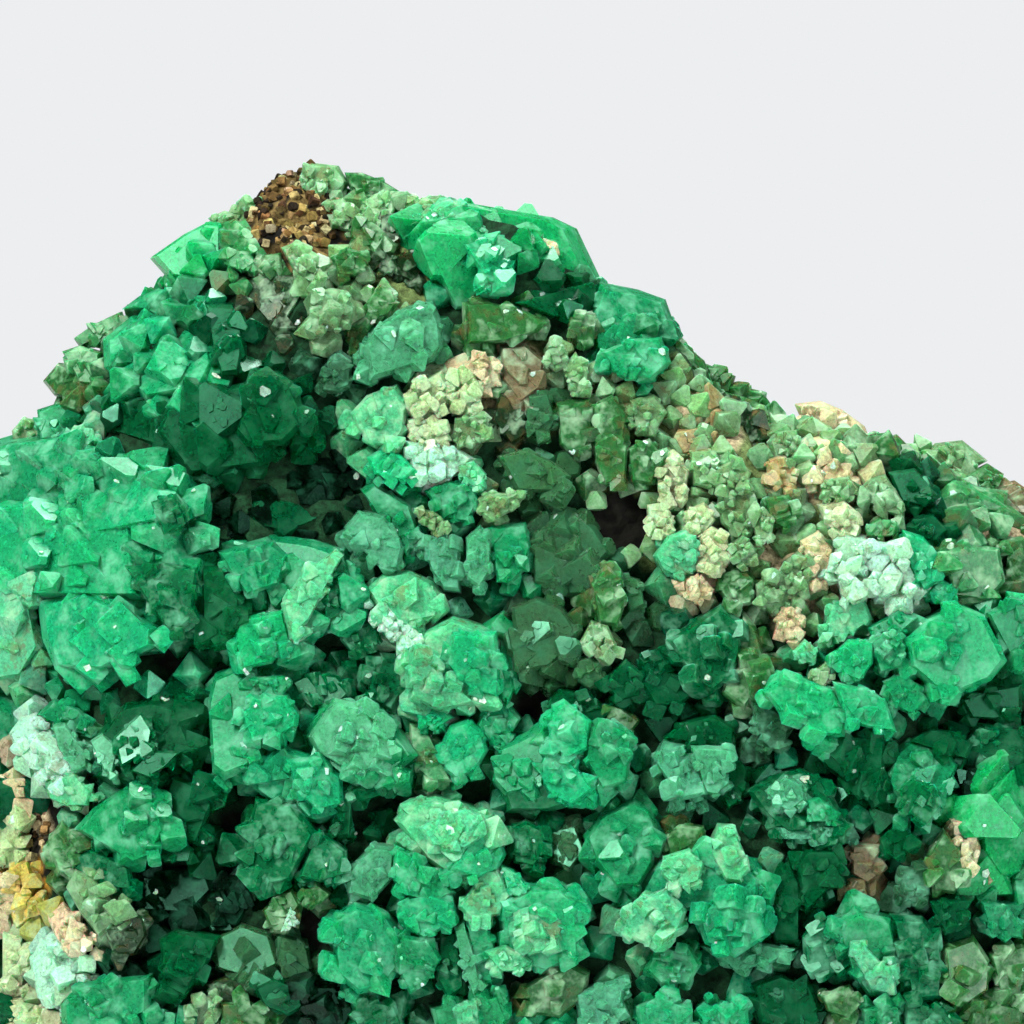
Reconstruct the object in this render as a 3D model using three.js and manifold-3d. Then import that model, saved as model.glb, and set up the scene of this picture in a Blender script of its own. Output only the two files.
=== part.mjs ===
// Fluorite specimen: green octahedral crystals, grown together into one crust, on a brown rock matrix.
// Millimetres, +Z up. The crystal face looks along -Y, and the origin lies on the flat, broken base.

import * as THREE from "three";
import { ImprovedNoise } from "three/addons/math/ImprovedNoise.js";
import { mergeVertices } from "three/addons/utils/BufferGeometryUtils.js";
import Module from "manifold-3d";

const wasm = await Module();
wasm.setup();

// Driving dimensions
const HEART = new THREE.Vector3(0, 0, 42); // a point inside the matrix, from which it swells out
const MATRIX_DETAIL = 5; // subdivisions of the matrix's starting ball
const MATRIX_CRISPNESS = 20; // how sharply the matrix's broken faces meet
const LUMP_SHARE = 0.06; // height of the matrix's lumps, as a share of its radius
const LUMP_SIZE = 11;
const FINE_LUMPS = 2.1; // how many times finer the matrix's second set of lumps is
const CRUST_GAP = 0.45; // clearance between the crystals' undersides and the matrix
const CRUST_FLOOR = 1.2; // height over the matrix of the fine growth that joins the crystals
const CRUST_BACK = 7; // the crust ends at about this y, where bare rock begins
const CRUST_FRAY = 7; // how far that end wanders
const CRUST_FOOT = 1.2; // the crystals stop this far above the surface that the matrix rests on
const LEAN = 0.25; // how far a crystal may lean away from straight out of the matrix, as a slope
const TRIM_FROM = 6.2; // crystals smaller than this are plain octahedra or cubes
const COMPANION_FROM = 7.1; // crystals this large carry smaller parallel growths
const COMPANION_COUNT = 2;
const COMPANION_SIZE = 0.66; // as shares of the main crystal's radius: size, step aside and step out
const COMPANION_STEP = 0.5;
const COMPANION_LIFT = 0.16;
const WRAP_COUNT = 132; // evenly spread places tried for crystals round the sides, top and back
const WRAP_RADIUS = [4.8, 6.1];
const WRAP_LIFT = 0.1; // how far their centres stand out of the matrix, over their radius
const WRAP_SPREAD = new THREE.Vector3(75, 32, 50); // half-lengths of the egg that they are spread on
const CROWN_SHRINK = 0.45; // how much smaller they are right on top
const WRAP_BACK = 0.2; // how far round the back they reach, as a slope, and how ragged their end is
const WRAP_FRAY = 0.3;
const WRAP_FOOT = 0.7; // lowest place that one is set at, over its radius
const GOLDEN_SHARE = (Math.sqrt(5) - 1) / 2; // spreads values evenly along a count

// The matrix's broken faces: the way each looks, a point that it passes through, and its lobe if it bounds
// only the peak or only the long shoulder right of it
const MATRIX_FACES = [
  { out: [0, 0, -1], at: [0, 0, -9] },
  { out: [0, -0.97, 0.24], at: [0, -29, 20] },
  { out: [0, -0.88, -0.47], at: [0, -29, 14] },
  { out: [-0.62, -0.75, 0.2], at: [-44, -17, 50] },
  { out: [0.58, -0.78, 0.2], at: [52, -19, 46] },
  { out: [0, 0.96, 0.28], at: [0, 27, 30] },
  { out: [-0.6, 0.75, 0.25], at: [-44, 17, 40] },
  { out: [0.6, 0.75, 0.25], at: [52, 21, 40] },
  { out: [-0.63, 0, 0.77], at: [-40, 0, 83.5] },
  { out: [-0.9, 0, 0.42], at: [-63, 0, 60] },
  { out: [-1, 0, -0.1], at: [-72, 0, 30] },
  { out: [0.22, 0, 0.975], at: [-20, 0, 99] },
  { out: [0.7, 0, 0.71], at: [10, 0, 87], lobe: "peak" },
  { out: [0.33, 0, 0.94], at: [30, 0, 72], lobe: "shoulder" },
  { out: [0.8, 0, 0.6], at: [74, 0, 62] },
  { out: [1, 0, -0.1], at: [77, 0, 30] },
].map(({ out, at, lobe }) => {
  const normal = new THREE.Vector3(...out).normalize();
  return { normal, reach: new THREE.Vector3(...at).sub(HEART).dot(normal), lobe };
});
const LOBES = ["peak", "shoulder"].map((name) => MATRIX_FACES.filter(({ lobe }) => !lobe || lobe === name));

// Flat breaks across the bare back of the matrix, given in the same way
const BACK_BREAKS = [
  { out: [0.34, 0.9, 0.28], at: [36, 22, 40] },
  { out: [-0.42, 0.86, 0.3], at: [-34, 23, 46] },
  { out: [0.05, 0.98, -0.2], at: [4, 30, 22] },
  { out: [-0.1, 0.8, 0.6], at: [-16, 25, 74] },
  { out: [0.35, 0.62, 0.7], at: [44, 15, 60] },
];

// Ways a crystal can grow: the crystal direction that looks out of the matrix, and how much of each
// octahedron corner is missing, as the half-width of the cube that trims it over the octahedron's radius
const HABITS = {
  face: { looks: new THREE.Vector3(1, 1, 1), trim: 0.72 },
  point: { looks: new THREE.Vector3(1, 0, 0), trim: 0.9 },
  block: { looks: new THREE.Vector3(0.9, 0.45, 0.2), trim: 0.6 },
};

// Crystals of the front face, read off the specimen: x, z, radius, how far the centre stands out, habit, spin
const FRONT_CRYSTALS = [
  // Peak
  [-18.7, 96.6, 2.9, 0.2, "block", 20], [-26.9, 95.2, 2.5, 0.2, "face", 40],
  [-13.5, 94.6, 2.2, 0.6, "point", 45], [-17.8, 84.6, 2.8, 1.4, "point", 5],
  [-21, 89.2, 2.8, 0.6, "block", 10], [-8.6, 91.6, 2.8, 0.2, "block", 60], [-32.6, 90, 5, 0, "face", 12],
  [-27.6, 90.6, 4.4, 0.6, "block", 50], [-23.3, 85.4, 3.8, 0, "face", 70],
  [-10.6, 81.6, 5, 1.8, "face", 62],
  // Upper left
  [-35.7, 80.7, 7.4, 2.2, "face", 24], [-29.6, 81.6, 5.2, 0.8, "block", 18],
  [-28.6, 72.2, 8.6, 1.6, "face", 50], [-24, 74.4, 5.8, 2.6, "face", 8], [-35, 72.6, 5.6, 0.6, "block", 66],
  [-40.6, 75.4, 4.2, 0.2, "block", 30],
  // Large crystal at the left
  [-42, 59.6, 12.6, 3.4, "face", 34], [-47.6, 68, 6.4, 2.4, "face", 28], [-36.2, 67, 6.6, 2.6, "face", 38],
  [-34.6, 54.2, 5.8, 2.8, "face", 30], [-48.4, 51.6, 6.4, 2.6, "face", 36],
  // Hollow right of it, and the crystals below
  [-23.6, 55.4, 8.2, 2, "face", 15], [-28.4, 53.2, 5.4, 1.6, "block", 42],
  [-17.6, 56.2, 5, 1.6, "block", 20], [-13, 62.2, 4.8, 1.6, "block", 72],
  // Pale heart of the specimen
  [-9.6, 72.4, 6.4, 2.4, "block", 30], [-6, 75.2, 5.2, 2, "block", 64], [-11.8, 69.8, 4.4, 2.2, "face", 20],
  [-4, 69.6, 4.6, 1.6, "block", 11], [-0.4, 77.6, 4.8, 0.6, "block", 48], [1, 73.6, 5, 0.4, "face", 75],
  [2.2, 68, 5, 1.2, "face", 84], [-7.8, 64.8, 4.4, 1, "face", 40], [-0.6, 83.2, 4.4, 0.4, "face", 66],
  // Top right
  [0.4, 90.2, 7.8, 1.4, "face", 88], [-4.8, 92.4, 4.6, 0.8, "block", 9], [5.2, 86.2, 4.4, 0.2, "block", 44],
  [11.6, 82.4, 6, 1.2, "block", 28], [8.6, 80.6, 4.2, 0.6, "face", 58], [14.2, 79, 4.4, 0.8, "block", 70],
  [18.6, 77.6, 3.4, 0.4, "block", 14], [33.2, 72.2, 3.8, 0.6, "block", 25],
  [38.1, 69.8, 3.6, 0.5, "face", 47], [44.3, 68.8, 4, 0.5, "face", 8], [49.2, 66.2, 3.6, 0.4, "block", 30],
  // Pale druse at the right
  [12.2, 73.2, 3.4, 1.2, "block", 10], [11.6, 68.8, 3.6, 1.4, "block", 55],
  [16.6, 67.2, 3.6, 1.4, "block", 40], [20.8, 67.6, 3.4, 1.4, "face", 65],
  [25, 66.4, 3.6, 1.4, "block", 18], [29.6, 68.2, 3.6, 0.8, "face", 82],
  [30.4, 63.6, 3.8, 1.6, "block", 47], [17.2, 62.4, 3.8, 1.8, "face", 33],
  [21.6, 62.6, 3.6, 1.8, "block", 70], [18.6, 58.6, 4.2, 2.2, "block", 12],
  [25.6, 61.6, 3.6, 1.4, "block", 58], [35.6, 65.2, 4.2, 1.4, "face", 26],
  [32.8, 58.4, 4.6, 1.8, "block", 66], [37.4, 59.2, 6.2, 2.4, "block", 40], [42, 57.6, 5, 1.8, "face", 74],
  [28.2, 56.4, 4, 1.6, "block", 22], [29, 52.4, 3.4, 1, "block", 51], [34.2, 53.6, 3.6, 1.2, "block", 8],
  [44.2, 64.2, 5.2, 1, "block", 33], [47.6, 59.8, 5.2, 1.2, "block", 60], [40.6, 65.4, 4, 0.8, "face", 16],
  [49.6, 63.4, 3.8, 0.8, "block", 78],
  // Middle
  [5.6, 60.8, 5.4, 0.8, "block", 24], [3.4, 53.2, 5.6, 1.6, "face", 55], [10.2, 54, 3.8, 1.2, "block", 38],
  [-4.8, 59.2, 5.2, 1.2, "block", 12], [0, 59.6, 4.2, 1, "block", 80], [-10.6, 55.6, 4.6, 1.6, "block", 36],
  [-5.8, 48.6, 6.8, 2.6, "face", 78], [-11.4, 50.2, 4.8, 1.6, "block", 18],
  [-5.4, 40.4, 4, 1.6, "point", 30], [18.6, 49.2, 7.2, 1.8, "face", 64], [12.6, 47.4, 5.2, 0.6, "face", 10],
  [8.4, 47, 4.2, 0, "block", 50],
  // Ledge at the right
  [30.4, 46.2, 6.4, 3, "face", 22], [36.4, 48, 6.2, 3, "face", 30], [44.2, 50, 7.2, 3.2, "face", 26],
  [50.4, 51.4, 6, 2.4, "face", 34], [26, 44.2, 3.8, 1.8, "block", 60], [39.4, 52.8, 4, 1.8, "block", 12],
  // Lower left
  [-46.8, 41, 5, 2.2, "face", 14], [-43.6, 36.4, 4, 1.8, "block", 44], [-45.2, 44.4, 3.6, 0.6, "face", 70],
  [-37, 41.8, 6.8, 1.6, "face", 58], [-39.2, 32.8, 5.8, 2.2, "face", 5], [-33, 34.6, 5, 1, "point", 25],
  [-26, 43.2, 5.8, 2, "block", 30], [-15.4, 41.2, 6.4, 2.4, "point", 0], [-20.2, 46, 4.2, 0, "face", 48],
  [-21.2, 36.2, 5.4, 2.2, "block", 66], [-22.4, 31, 5.8, 2.4, "face", 42],
  [-35, 26.8, 6.4, 0.4, "block", 20], [-44.4, 24.8, 5.4, 1.6, "block", 35], [-46, 18, 5, 1.8, "block", 52],
  [-39, 22.2, 3.6, 1, "block", 74], [-32.2, 19.2, 4.4, 1.2, "point", 15], [-41, 14.8, 5.4, 1.2, "face", 27],
  [-27, 14.6, 5.4, 1.2, "block", 46], [-25.2, 19.8, 4.4, 0, "block", 31],
  // Lower middle
  [4.6, 39.2, 7.4, 2.2, "block", 20], [9, 42.2, 4.8, 1.4, "face", 45], [-6, 31, 6, 2.8, "face", 70],
  [-11.4, 27, 5.4, 1.8, "block", 33], [-13.4, 18.8, 6.8, 2.2, "block", 58],
  [-2, 26.2, 3.8, 1.6, "block", 8], [2, 22.4, 5.6, 2, "block", 76], [-4.4, 19.2, 4, 1.4, "block", 15],
  [6.4, 15, 5, 1.4, "face", 37], [1.4, 30.8, 3.4, 0.4, "block", 62], [10.6, 30.4, 5.2, 1.2, "block", 28],
  [19, 38.8, 5.4, 1.4, "block", 50], [18.6, 26.2, 7.4, 2.6, "block", 18], [14.6, 22.2, 5.2, 2, "face", 55],
  [22.4, 28.6, 4.8, 2.2, "block", 72], [9.8, 22.6, 4, 0.4, "block", 41],
  [-6.8, 13.8, 4.6, 1.4, "block", 24], [16.8, 14.8, 5, 1.4, "face", 66], [12.6, 36.4, 4, 0, "block", 12],
  // Lower right
  [28.8, 35.2, 6.2, 1.8, "face", 12], [34.4, 38.2, 5, 1.2, "face", 80], [40.8, 37, 5.8, 2.2, "block", 36],
  [48.2, 41, 4.6, 0.8, "block", 22], [49.2, 32.6, 6, 2, "face", 48], [29.8, 25.8, 5.6, 1.2, "face", 64],
  [31, 19.8, 4.2, 1.2, "block", 30], [38, 18.8, 6.6, 2, "block", 54], [41.8, 26, 5.6, 1.2, "face", 20],
  [47.4, 18.6, 5.2, 1.4, "block", 70], [23.8, 16.6, 4.8, 1.4, "block", 44], [24, 42, 3.6, 0, "block", 16],
  [35.4, 30.2, 4.6, 0.2, "block", 60], [46.6, 26.4, 4.4, 0.8, "block", 34],
  // Foot
  [-52, 9.4, 5.4, 1, "face", 31], [-43, 6.6, 5, 1.2, "block", 12], [-34, 8.8, 5.6, 1.4, "face", 57],
  [-24.6, 6.4, 5.2, 1.2, "block", 70], [-15.4, 8.6, 5.8, 1.6, "block", 23], [-6.2, 6.6, 5, 1, "face", 44],
  [2.8, 8.4, 5.6, 1.4, "block", 8], [11.8, 6.4, 5.4, 1.2, "face", 62], [20.6, 8.4, 5.2, 1.4, "block", 35],
  [29.8, 7, 5.6, 1.2, "block", 50], [38.4, 9, 5.4, 1.2, "face", 16], [47.4, 7, 5.6, 1, "block", 75],
];

// Where the matrix shows bare through the crystals of the front face: x, z and radius
const BARE_SPOTS = [
  { x: -22.6, z: 94.5, radius: 3.4 },
  { x: -51, z: 32, radius: 4 },
];

const FACE_WIDTH = 51; // half-width of the stretch that the list of front crystals covers
const FACE_BACK = -13; // depth behind which it counts as the top
const FACE_TILT = 0.12; // how much its crystals look up
const UP = new THREE.Vector3(0, 0, 1);
const BEYOND = 400; // larger than the specimen
const FRAY_STEPS = 40; // facets across that length where the crust ends
const FRONT_STEPS = 24; // halvings that find the matrix's front
const lumps = new ImprovedNoise();

// Solids
// A closed geometry as a solid that can be joined and cut.
function solidOf(geometry) {
  geometry.deleteAttribute("normal");
  geometry.deleteAttribute("uv");
  const { attributes, index } = mergeVertices(geometry);
  return new wasm.Manifold(
    new wasm.Mesh({
      numProp: 3,
      vertProperties: attributes.position.array,
      triVerts: new Uint32Array(index.array),
    }),
  );
}

// A solid as a mesh with flat faces.
function meshOf(solid, name, material) {
  const { vertProperties, triVerts } = solid.getMesh();
  const geometry = new THREE.BufferGeometry();
  geometry.setAttribute("position", new THREE.BufferAttribute(vertProperties, 3));
  geometry.setIndex(new THREE.BufferAttribute(triVerts, 1));
  const mesh = new THREE.Mesh(geometry, material);
  mesh.name = name;
  return mesh;
}

// Everything below a height.
function below(height) {
  return solidOf(new THREE.BoxGeometry(BEYOND, BEYOND, BEYOND).translate(0, 0, height - BEYOND / 2));
}

// Everything behind the ragged line where the crust ends.
function behindCrust() {
  const box = new THREE.BoxGeometry(BEYOND, BEYOND, BEYOND, FRAY_STEPS, 1, FRAY_STEPS);
  box.translate(0, CRUST_BACK + BEYOND / 2, 0);
  const places = box.getAttribute("position");
  for (let i = 0; i < places.count; i++) {
    if (places.getY(i) > CRUST_BACK) continue;
    const wander = lumps.noise(places.getX(i) / LUMP_SIZE, 0.5, places.getZ(i) / LUMP_SIZE);
    places.setY(i, CRUST_BACK + CRUST_FRAY * wander);
  }
  return solidOf(box);
}

// Everything on the far side of a break across the matrix.
function beyondBreak({ out, at }) {
  const box = new THREE.BoxGeometry(BEYOND, BEYOND, BEYOND).translate(0, 0, BEYOND / 2);
  const turn = new THREE.Quaternion().setFromUnitVectors(UP, new THREE.Vector3(...out).normalize());
  return solidOf(box.applyQuaternion(turn).translate(...at));
}

// The largest body of a solid, without specks cut loose from it or pockets sealed in it.
function largestBody(solid) {
  const bodies = solid.decompose();
  return bodies.reduce((best, body) => (body.volume() > best.volume() ? body : best));
}

// Matrix
// Distance from the heart to the matrix's surface along a unit direction, with its faces moved out by a margin.
function matrixReach(direction, margin) {
  const steepness = ({ normal, reach }) => Math.max(0, normal.dot(direction)) / (reach + margin);
  const lobeReach = (faces) => {
    const sum = faces.reduce((total, face) => total + steepness(face) ** MATRIX_CRISPNESS, 0);
    return sum ** (-1 / MATRIX_CRISPNESS);
  };
  const smooth = Math.max(...LOBES.map(lobeReach));
  const at = direction.clone().multiplyScalar(smooth / LUMP_SIZE);
  const fine = at.clone().multiplyScalar(FINE_LUMPS);
  const lump = lumps.noise(at.x, at.y, at.z) + lumps.noise(fine.x, fine.y, fine.z) / FINE_LUMPS;
  return smooth * (1 + LUMP_SHARE * lump);
}

// A point on the matrix's surface.
function matrixPoint(direction, margin = 0) {
  return direction.clone().multiplyScalar(matrixReach(direction, margin)).add(HEART);
}

// The matrix, swollen by a margin, still reaching below its base.
function matrixSwollen(margin) {
  const ball = new THREE.IcosahedronGeometry(1, MATRIX_DETAIL);
  const places = ball.getAttribute("position");
  const direction = new THREE.Vector3();
  for (let i = 0; i < places.count; i++) {
    direction.fromBufferAttribute(places, i).normalize();
    const { x, y, z } = matrixPoint(direction, margin);
    places.setXYZ(i, x, y, z);
  }
  return solidOf(ball);
}

// The matrix with its flat base and the breaks across its back.
function brokenMatrix() {
  return matrixSwollen(0).subtract(wasm.Manifold.union([below(0), ...BACK_BREAKS.map(beyondBreak)]));
}

// Whether a point lies inside the matrix.
function inMatrix(point) {
  const fromHeart = point.clone().sub(HEART);
  return fromHeart.length() < matrixReach(fromHeart.clone().normalize(), 0);
}

// The y of the matrix's front at a place on it, or of its middle where the place is beyond its outline.
function frontOf(x, z) {
  let outside = -BEYOND;
  let inside = HEART.y - 1;
  for (let i = 0; i < FRONT_STEPS; i++) {
    const middle = (outside + inside) / 2;
    if (inMatrix(new THREE.Vector3(x, middle, z))) inside = middle;
    else outside = middle;
  }
  return inside;
}

// Crystals
// An octahedron with its corners trimmed by a cube, turned and moved into place. A small one is left whole.
function crystalSolid(radius, habit, turn, place) {
  const { trim } = HABITS[habit];
  const octahedron = new THREE.OctahedronGeometry(radius);
  const cube = new THREE.BoxGeometry(2 * trim * radius, 2 * trim * radius, 2 * trim * radius);
  const set = (geometry) => solidOf(geometry.applyQuaternion(turn).translate(place.x, place.y, place.z));
  if (radius < TRIM_FROM) return set(habit === "block" ? cube : octahedron);
  return set(octahedron).intersect(set(cube));
}

// The turn that points a crystal's habit out of the matrix, spun about that direction and leaning a little.
function crystalTurn(habit, outward, spin) {
  const lean = new THREE.Vector3(Math.sin(7 * spin), Math.sin(11 * spin), Math.sin(13 * spin));
  const facing = outward.clone().addScaledVector(lean, LEAN).normalize();
  const look = HABITS[habit].looks.clone().normalize();
  const aim = new THREE.Quaternion().setFromUnitVectors(look, facing);
  return new THREE.Quaternion().setFromAxisAngle(facing, THREE.MathUtils.degToRad(spin)).multiply(aim);
}

// A crystal and, if it is large, the smaller parallel growths that step its faces and edges.
function crystalGroup(radius, habit, outward, spin, place) {
  const turn = crystalTurn(habit, outward, spin);
  const group = [crystalSolid(radius, habit, turn, place)];
  if (radius < COMPANION_FROM) return group;
  const across = UP.clone().cross(outward).normalize();
  const along = outward.clone().cross(across);
  for (let i = 0; i < COMPANION_COUNT; i++) {
    const angle = spin + (i * 2 * Math.PI) / COMPANION_COUNT;
    const step = across.clone().multiplyScalar(Math.cos(angle)).addScaledVector(along, Math.sin(angle));
    const shift = step.multiplyScalar(COMPANION_STEP).addScaledVector(outward, COMPANION_LIFT);
    const beside = place.clone().addScaledVector(shift, radius);
    group.push(crystalSolid(COMPANION_SIZE * radius, habit, turn, beside));
  }
  return group;
}

// The crystals of the front face, as listed.
function frontCrystals() {
  const outward = new THREE.Vector3(0, -1, FACE_TILT).normalize();
  return FRONT_CRYSTALS.flatMap(([x, z, radius, lift, habit, spin]) => {
    const place = new THREE.Vector3(x, frontOf(x, z) - lift, z);
    return crystalGroup(radius, habit, outward, spin, place);
  });
}

// Crystals spread evenly round the ends, the top and the foot, thinning out to bare rock at the back.
function wrapCrystals() {
  const group = [];
  for (let i = 0; i < WRAP_COUNT; i++) {
    const share = (i * GOLDEN_SHARE) % 1;
    const height = 1 - (2 * (i + 0.5)) / WRAP_COUNT;
    const ring = Math.sqrt(1 - height * height);
    const angle = 2 * Math.PI * share;
    const onBall = new THREE.Vector3(ring * Math.cos(angle), ring * Math.sin(angle), height);
    const direction = onBall.multiply(WRAP_SPREAD).normalize();
    const mix = (7 * share) % 1;
    const radius = THREE.MathUtils.lerp(...WRAP_RADIUS, mix) * (1 - CROWN_SHRINK * Math.max(0, height));
    const place = matrixPoint(direction, WRAP_LIFT * radius);
    const onFace = Math.abs(place.x) < FACE_WIDTH && place.y < FACE_BACK;
    const onBack = direction.y > WRAP_BACK + WRAP_FRAY * mix;
    const onBase = place.z < WRAP_FOOT * radius;
    if (onFace || onBack || onBase) continue;
    const outward = direction.clone().setZ(Math.max(direction.z, 0)).normalize();
    group.push(...crystalGroup(radius, mix < 0.5 ? "face" : "block", outward, 90 * mix, place));
  }
  return group;
}

// Bites that leave the matrix showing through the crystals.
function bareSpots() {
  return BARE_SPOTS.map(({ x, z, radius }) =>
    solidOf(new THREE.IcosahedronGeometry(radius, 1).translate(x, frontOf(x, z) - 0.5 * radius, z)),
  );
}

// All the crystals and the fine growth between them, grown together, fitted over the matrix.
function crystalCrust() {
  const floor = matrixSwollen(CRUST_FLOOR).subtract(behindCrust());
  const crystals = wasm.Manifold.union([floor, ...frontCrystals(), ...wrapCrystals()]);
  const cuts = wasm.Manifold.union([matrixSwollen(CRUST_GAP), below(CRUST_FOOT), ...bareSpots()]);
  return largestBody(crystals.subtract(cuts));
}

// Materials
const fluorite = new THREE.MeshStandardMaterial({ color: 0x12925a, roughness: 0.25, metalness: 0 });
const rock = new THREE.MeshStandardMaterial({ color: 0x7a6238, roughness: 0.95, metalness: 0 });

const specimen = new THREE.Group();
specimen.add(meshOf(brokenMatrix(), "matrix", rock));
specimen.add(meshOf(crystalCrust(), "fluorite_crystals", fluorite));

export default specimen;
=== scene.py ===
"""Looks of a fluorite specimen: clear to cloudy green crystals, grown together on brown, grainy rock.

The crystals are built in millimetres, as they were read off the specimen, and become meshes in metres.
"""
import itertools
import math

import bmesh
import bpy
import numpy as np
from mathutils import Euler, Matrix, Vector, geometry, noise
from mathutils.bvhtree import BVHTree
from mathutils.kdtree import KDTree


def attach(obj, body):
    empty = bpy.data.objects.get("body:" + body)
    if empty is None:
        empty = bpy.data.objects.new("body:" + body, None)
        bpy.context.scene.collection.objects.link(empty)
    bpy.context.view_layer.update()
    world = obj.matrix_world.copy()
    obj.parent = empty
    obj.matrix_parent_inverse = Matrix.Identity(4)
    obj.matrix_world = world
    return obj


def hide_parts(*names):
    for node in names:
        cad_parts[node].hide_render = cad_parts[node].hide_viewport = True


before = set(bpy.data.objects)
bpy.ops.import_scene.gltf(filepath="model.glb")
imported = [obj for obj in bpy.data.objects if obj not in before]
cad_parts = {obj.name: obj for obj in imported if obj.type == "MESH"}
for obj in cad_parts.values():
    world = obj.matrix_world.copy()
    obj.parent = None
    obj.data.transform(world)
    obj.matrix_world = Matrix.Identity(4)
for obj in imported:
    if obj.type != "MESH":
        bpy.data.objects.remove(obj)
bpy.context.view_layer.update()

MM = 0.001
rng = np.random.default_rng(12)

# Camera: level, looking straight at the crystal face
IMAGE_WIDTH = 102.4  # of the specimen, in the plane of its face
FACE_DEPTH = -20
VIEW_DISTANCE = 600
VIEW_HEIGHT = 64.2
SENSOR = 36

# Crystals
HEART = Vector((0, 0, 42))  # a point inside the matrix, from which the crystals round the ends look out
WRAP_COUNT = 132  # places for crystals round the ends and over the top
WRAP_RADIUS = (4.8, 6.1)
WRAP_MIX = 7  # how fast their radius changes from one to the next
WRAP_SIDES = 5  # fewest sides of one's outline
WRAP_LIFT = 0.5  # of its radius, over the rock
WRAP_SPREAD = (75, 32, 50)  # of the directions they look in
CROWN_SHRINK = 0.45  # how much smaller they are at the top
WRAP_BACK = 0.16  # how far back they look at most
WRAP_FRAY = 0.1  # how uneven that edge is
WRAP_FOOT = 0.7  # of its radius, the least height over the base
WRAP_DETAIL = 0.6
FACE_WIDTH = 51  # of each half
FACE_BACK = -4  # crystals of the front face lie before this depth
FACE_END = 4  # what lies deeper belongs to the back
GOLDEN_SHARE = (math.sqrt(5) - 1) / 2
CRUST_FOOT = 1.2  # height of the lowest crystals over the base
DRUSE_BACK = 8  # the fine growth ends at about this depth
DRUSE_FRAY = 5  # how uneven that edge is
DRUSE_FRAY_SIZE = 11
FILL_TRIES = 16000
FILL_FOOT = 2.6  # least height of a filler over the base
FILL_RADIUS = (1.5, 2.6)
FILL_SPACE = 1.9  # between two of them
FILL_SINK = 0.35  # of its radius
FILL_CLEAR = 0.8  # of a main crystal's radius, with no filler in it
FILL_LIFT = 0.2  # of the height of the main crystal beside it
FILL_PAINTED_SHADE = 0.7  # painted shade: crystals in the gaps are darkened, as if shaded by those that stand out
DRUSE_RADIUS = (1.3, 2.2)
DRUSE_SPACE = 1.5
# painted shade, slight, on the fillers among the pale druse
DRUSE_PAINTED_SHADE = 0.95

# Tones: linear colour, the family of crystal it is seen in, and what has grown on the faces
TONES = {
    "bright": ((0.008, 0.335, 0.125), "body", "stepped"),
    "emerald": ((0.006, 0.235, 0.084), "body", "stepped"),
    "sea": ((0.000, 0.115, 0.034), "body", "stepped"),
    "jade": ((0.004, 0.320, 0.090), "body", "smooth"),
    "teal": ((0.000, 0.100, 0.028), "clear", "smooth"),
    # near-black: painted shade, for crystals in hollows and dark gaps
    "painted_shade": ((0.000, 0.005, 0.001), "clear", "smooth"),
    "frost": ((0.056, 0.290, 0.140), "body", "stepped"),
    "slate": ((0.022, 0.100, 0.044), "body", "stepped"),
    "mint": ((0.055, 0.380, 0.170), "milky", "stepped"),
    "ice": ((0.330, 0.660, 0.440), "milky", "druse"),
    "leaf": ((0.020, 0.190, 0.055), "milky", "smooth"),
    "moss": ((0.014, 0.112, 0.023), "milky", "smooth"),
    "olive": ((0.004, 0.024, 0.005), "milky", "smooth"),
    "pale": ((0.115, 0.260, 0.105), "milky", "druse"),
    "straw": ((0.360, 0.500, 0.240), "milky", "druse"),
    "cream": ((0.520, 0.470, 0.260), "milky", "druse"),
    "tan": ((0.300, 0.225, 0.090), "milky", "druse"),
    "smoky": ((0.050, 0.165, 0.066), "clear", "smooth"),
    "umber": ((0.125, 0.110, 0.052), "milky", "smooth"),
    "rust": ((0.440, 0.380, 0.070), "milky", "druse"),
}

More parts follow.
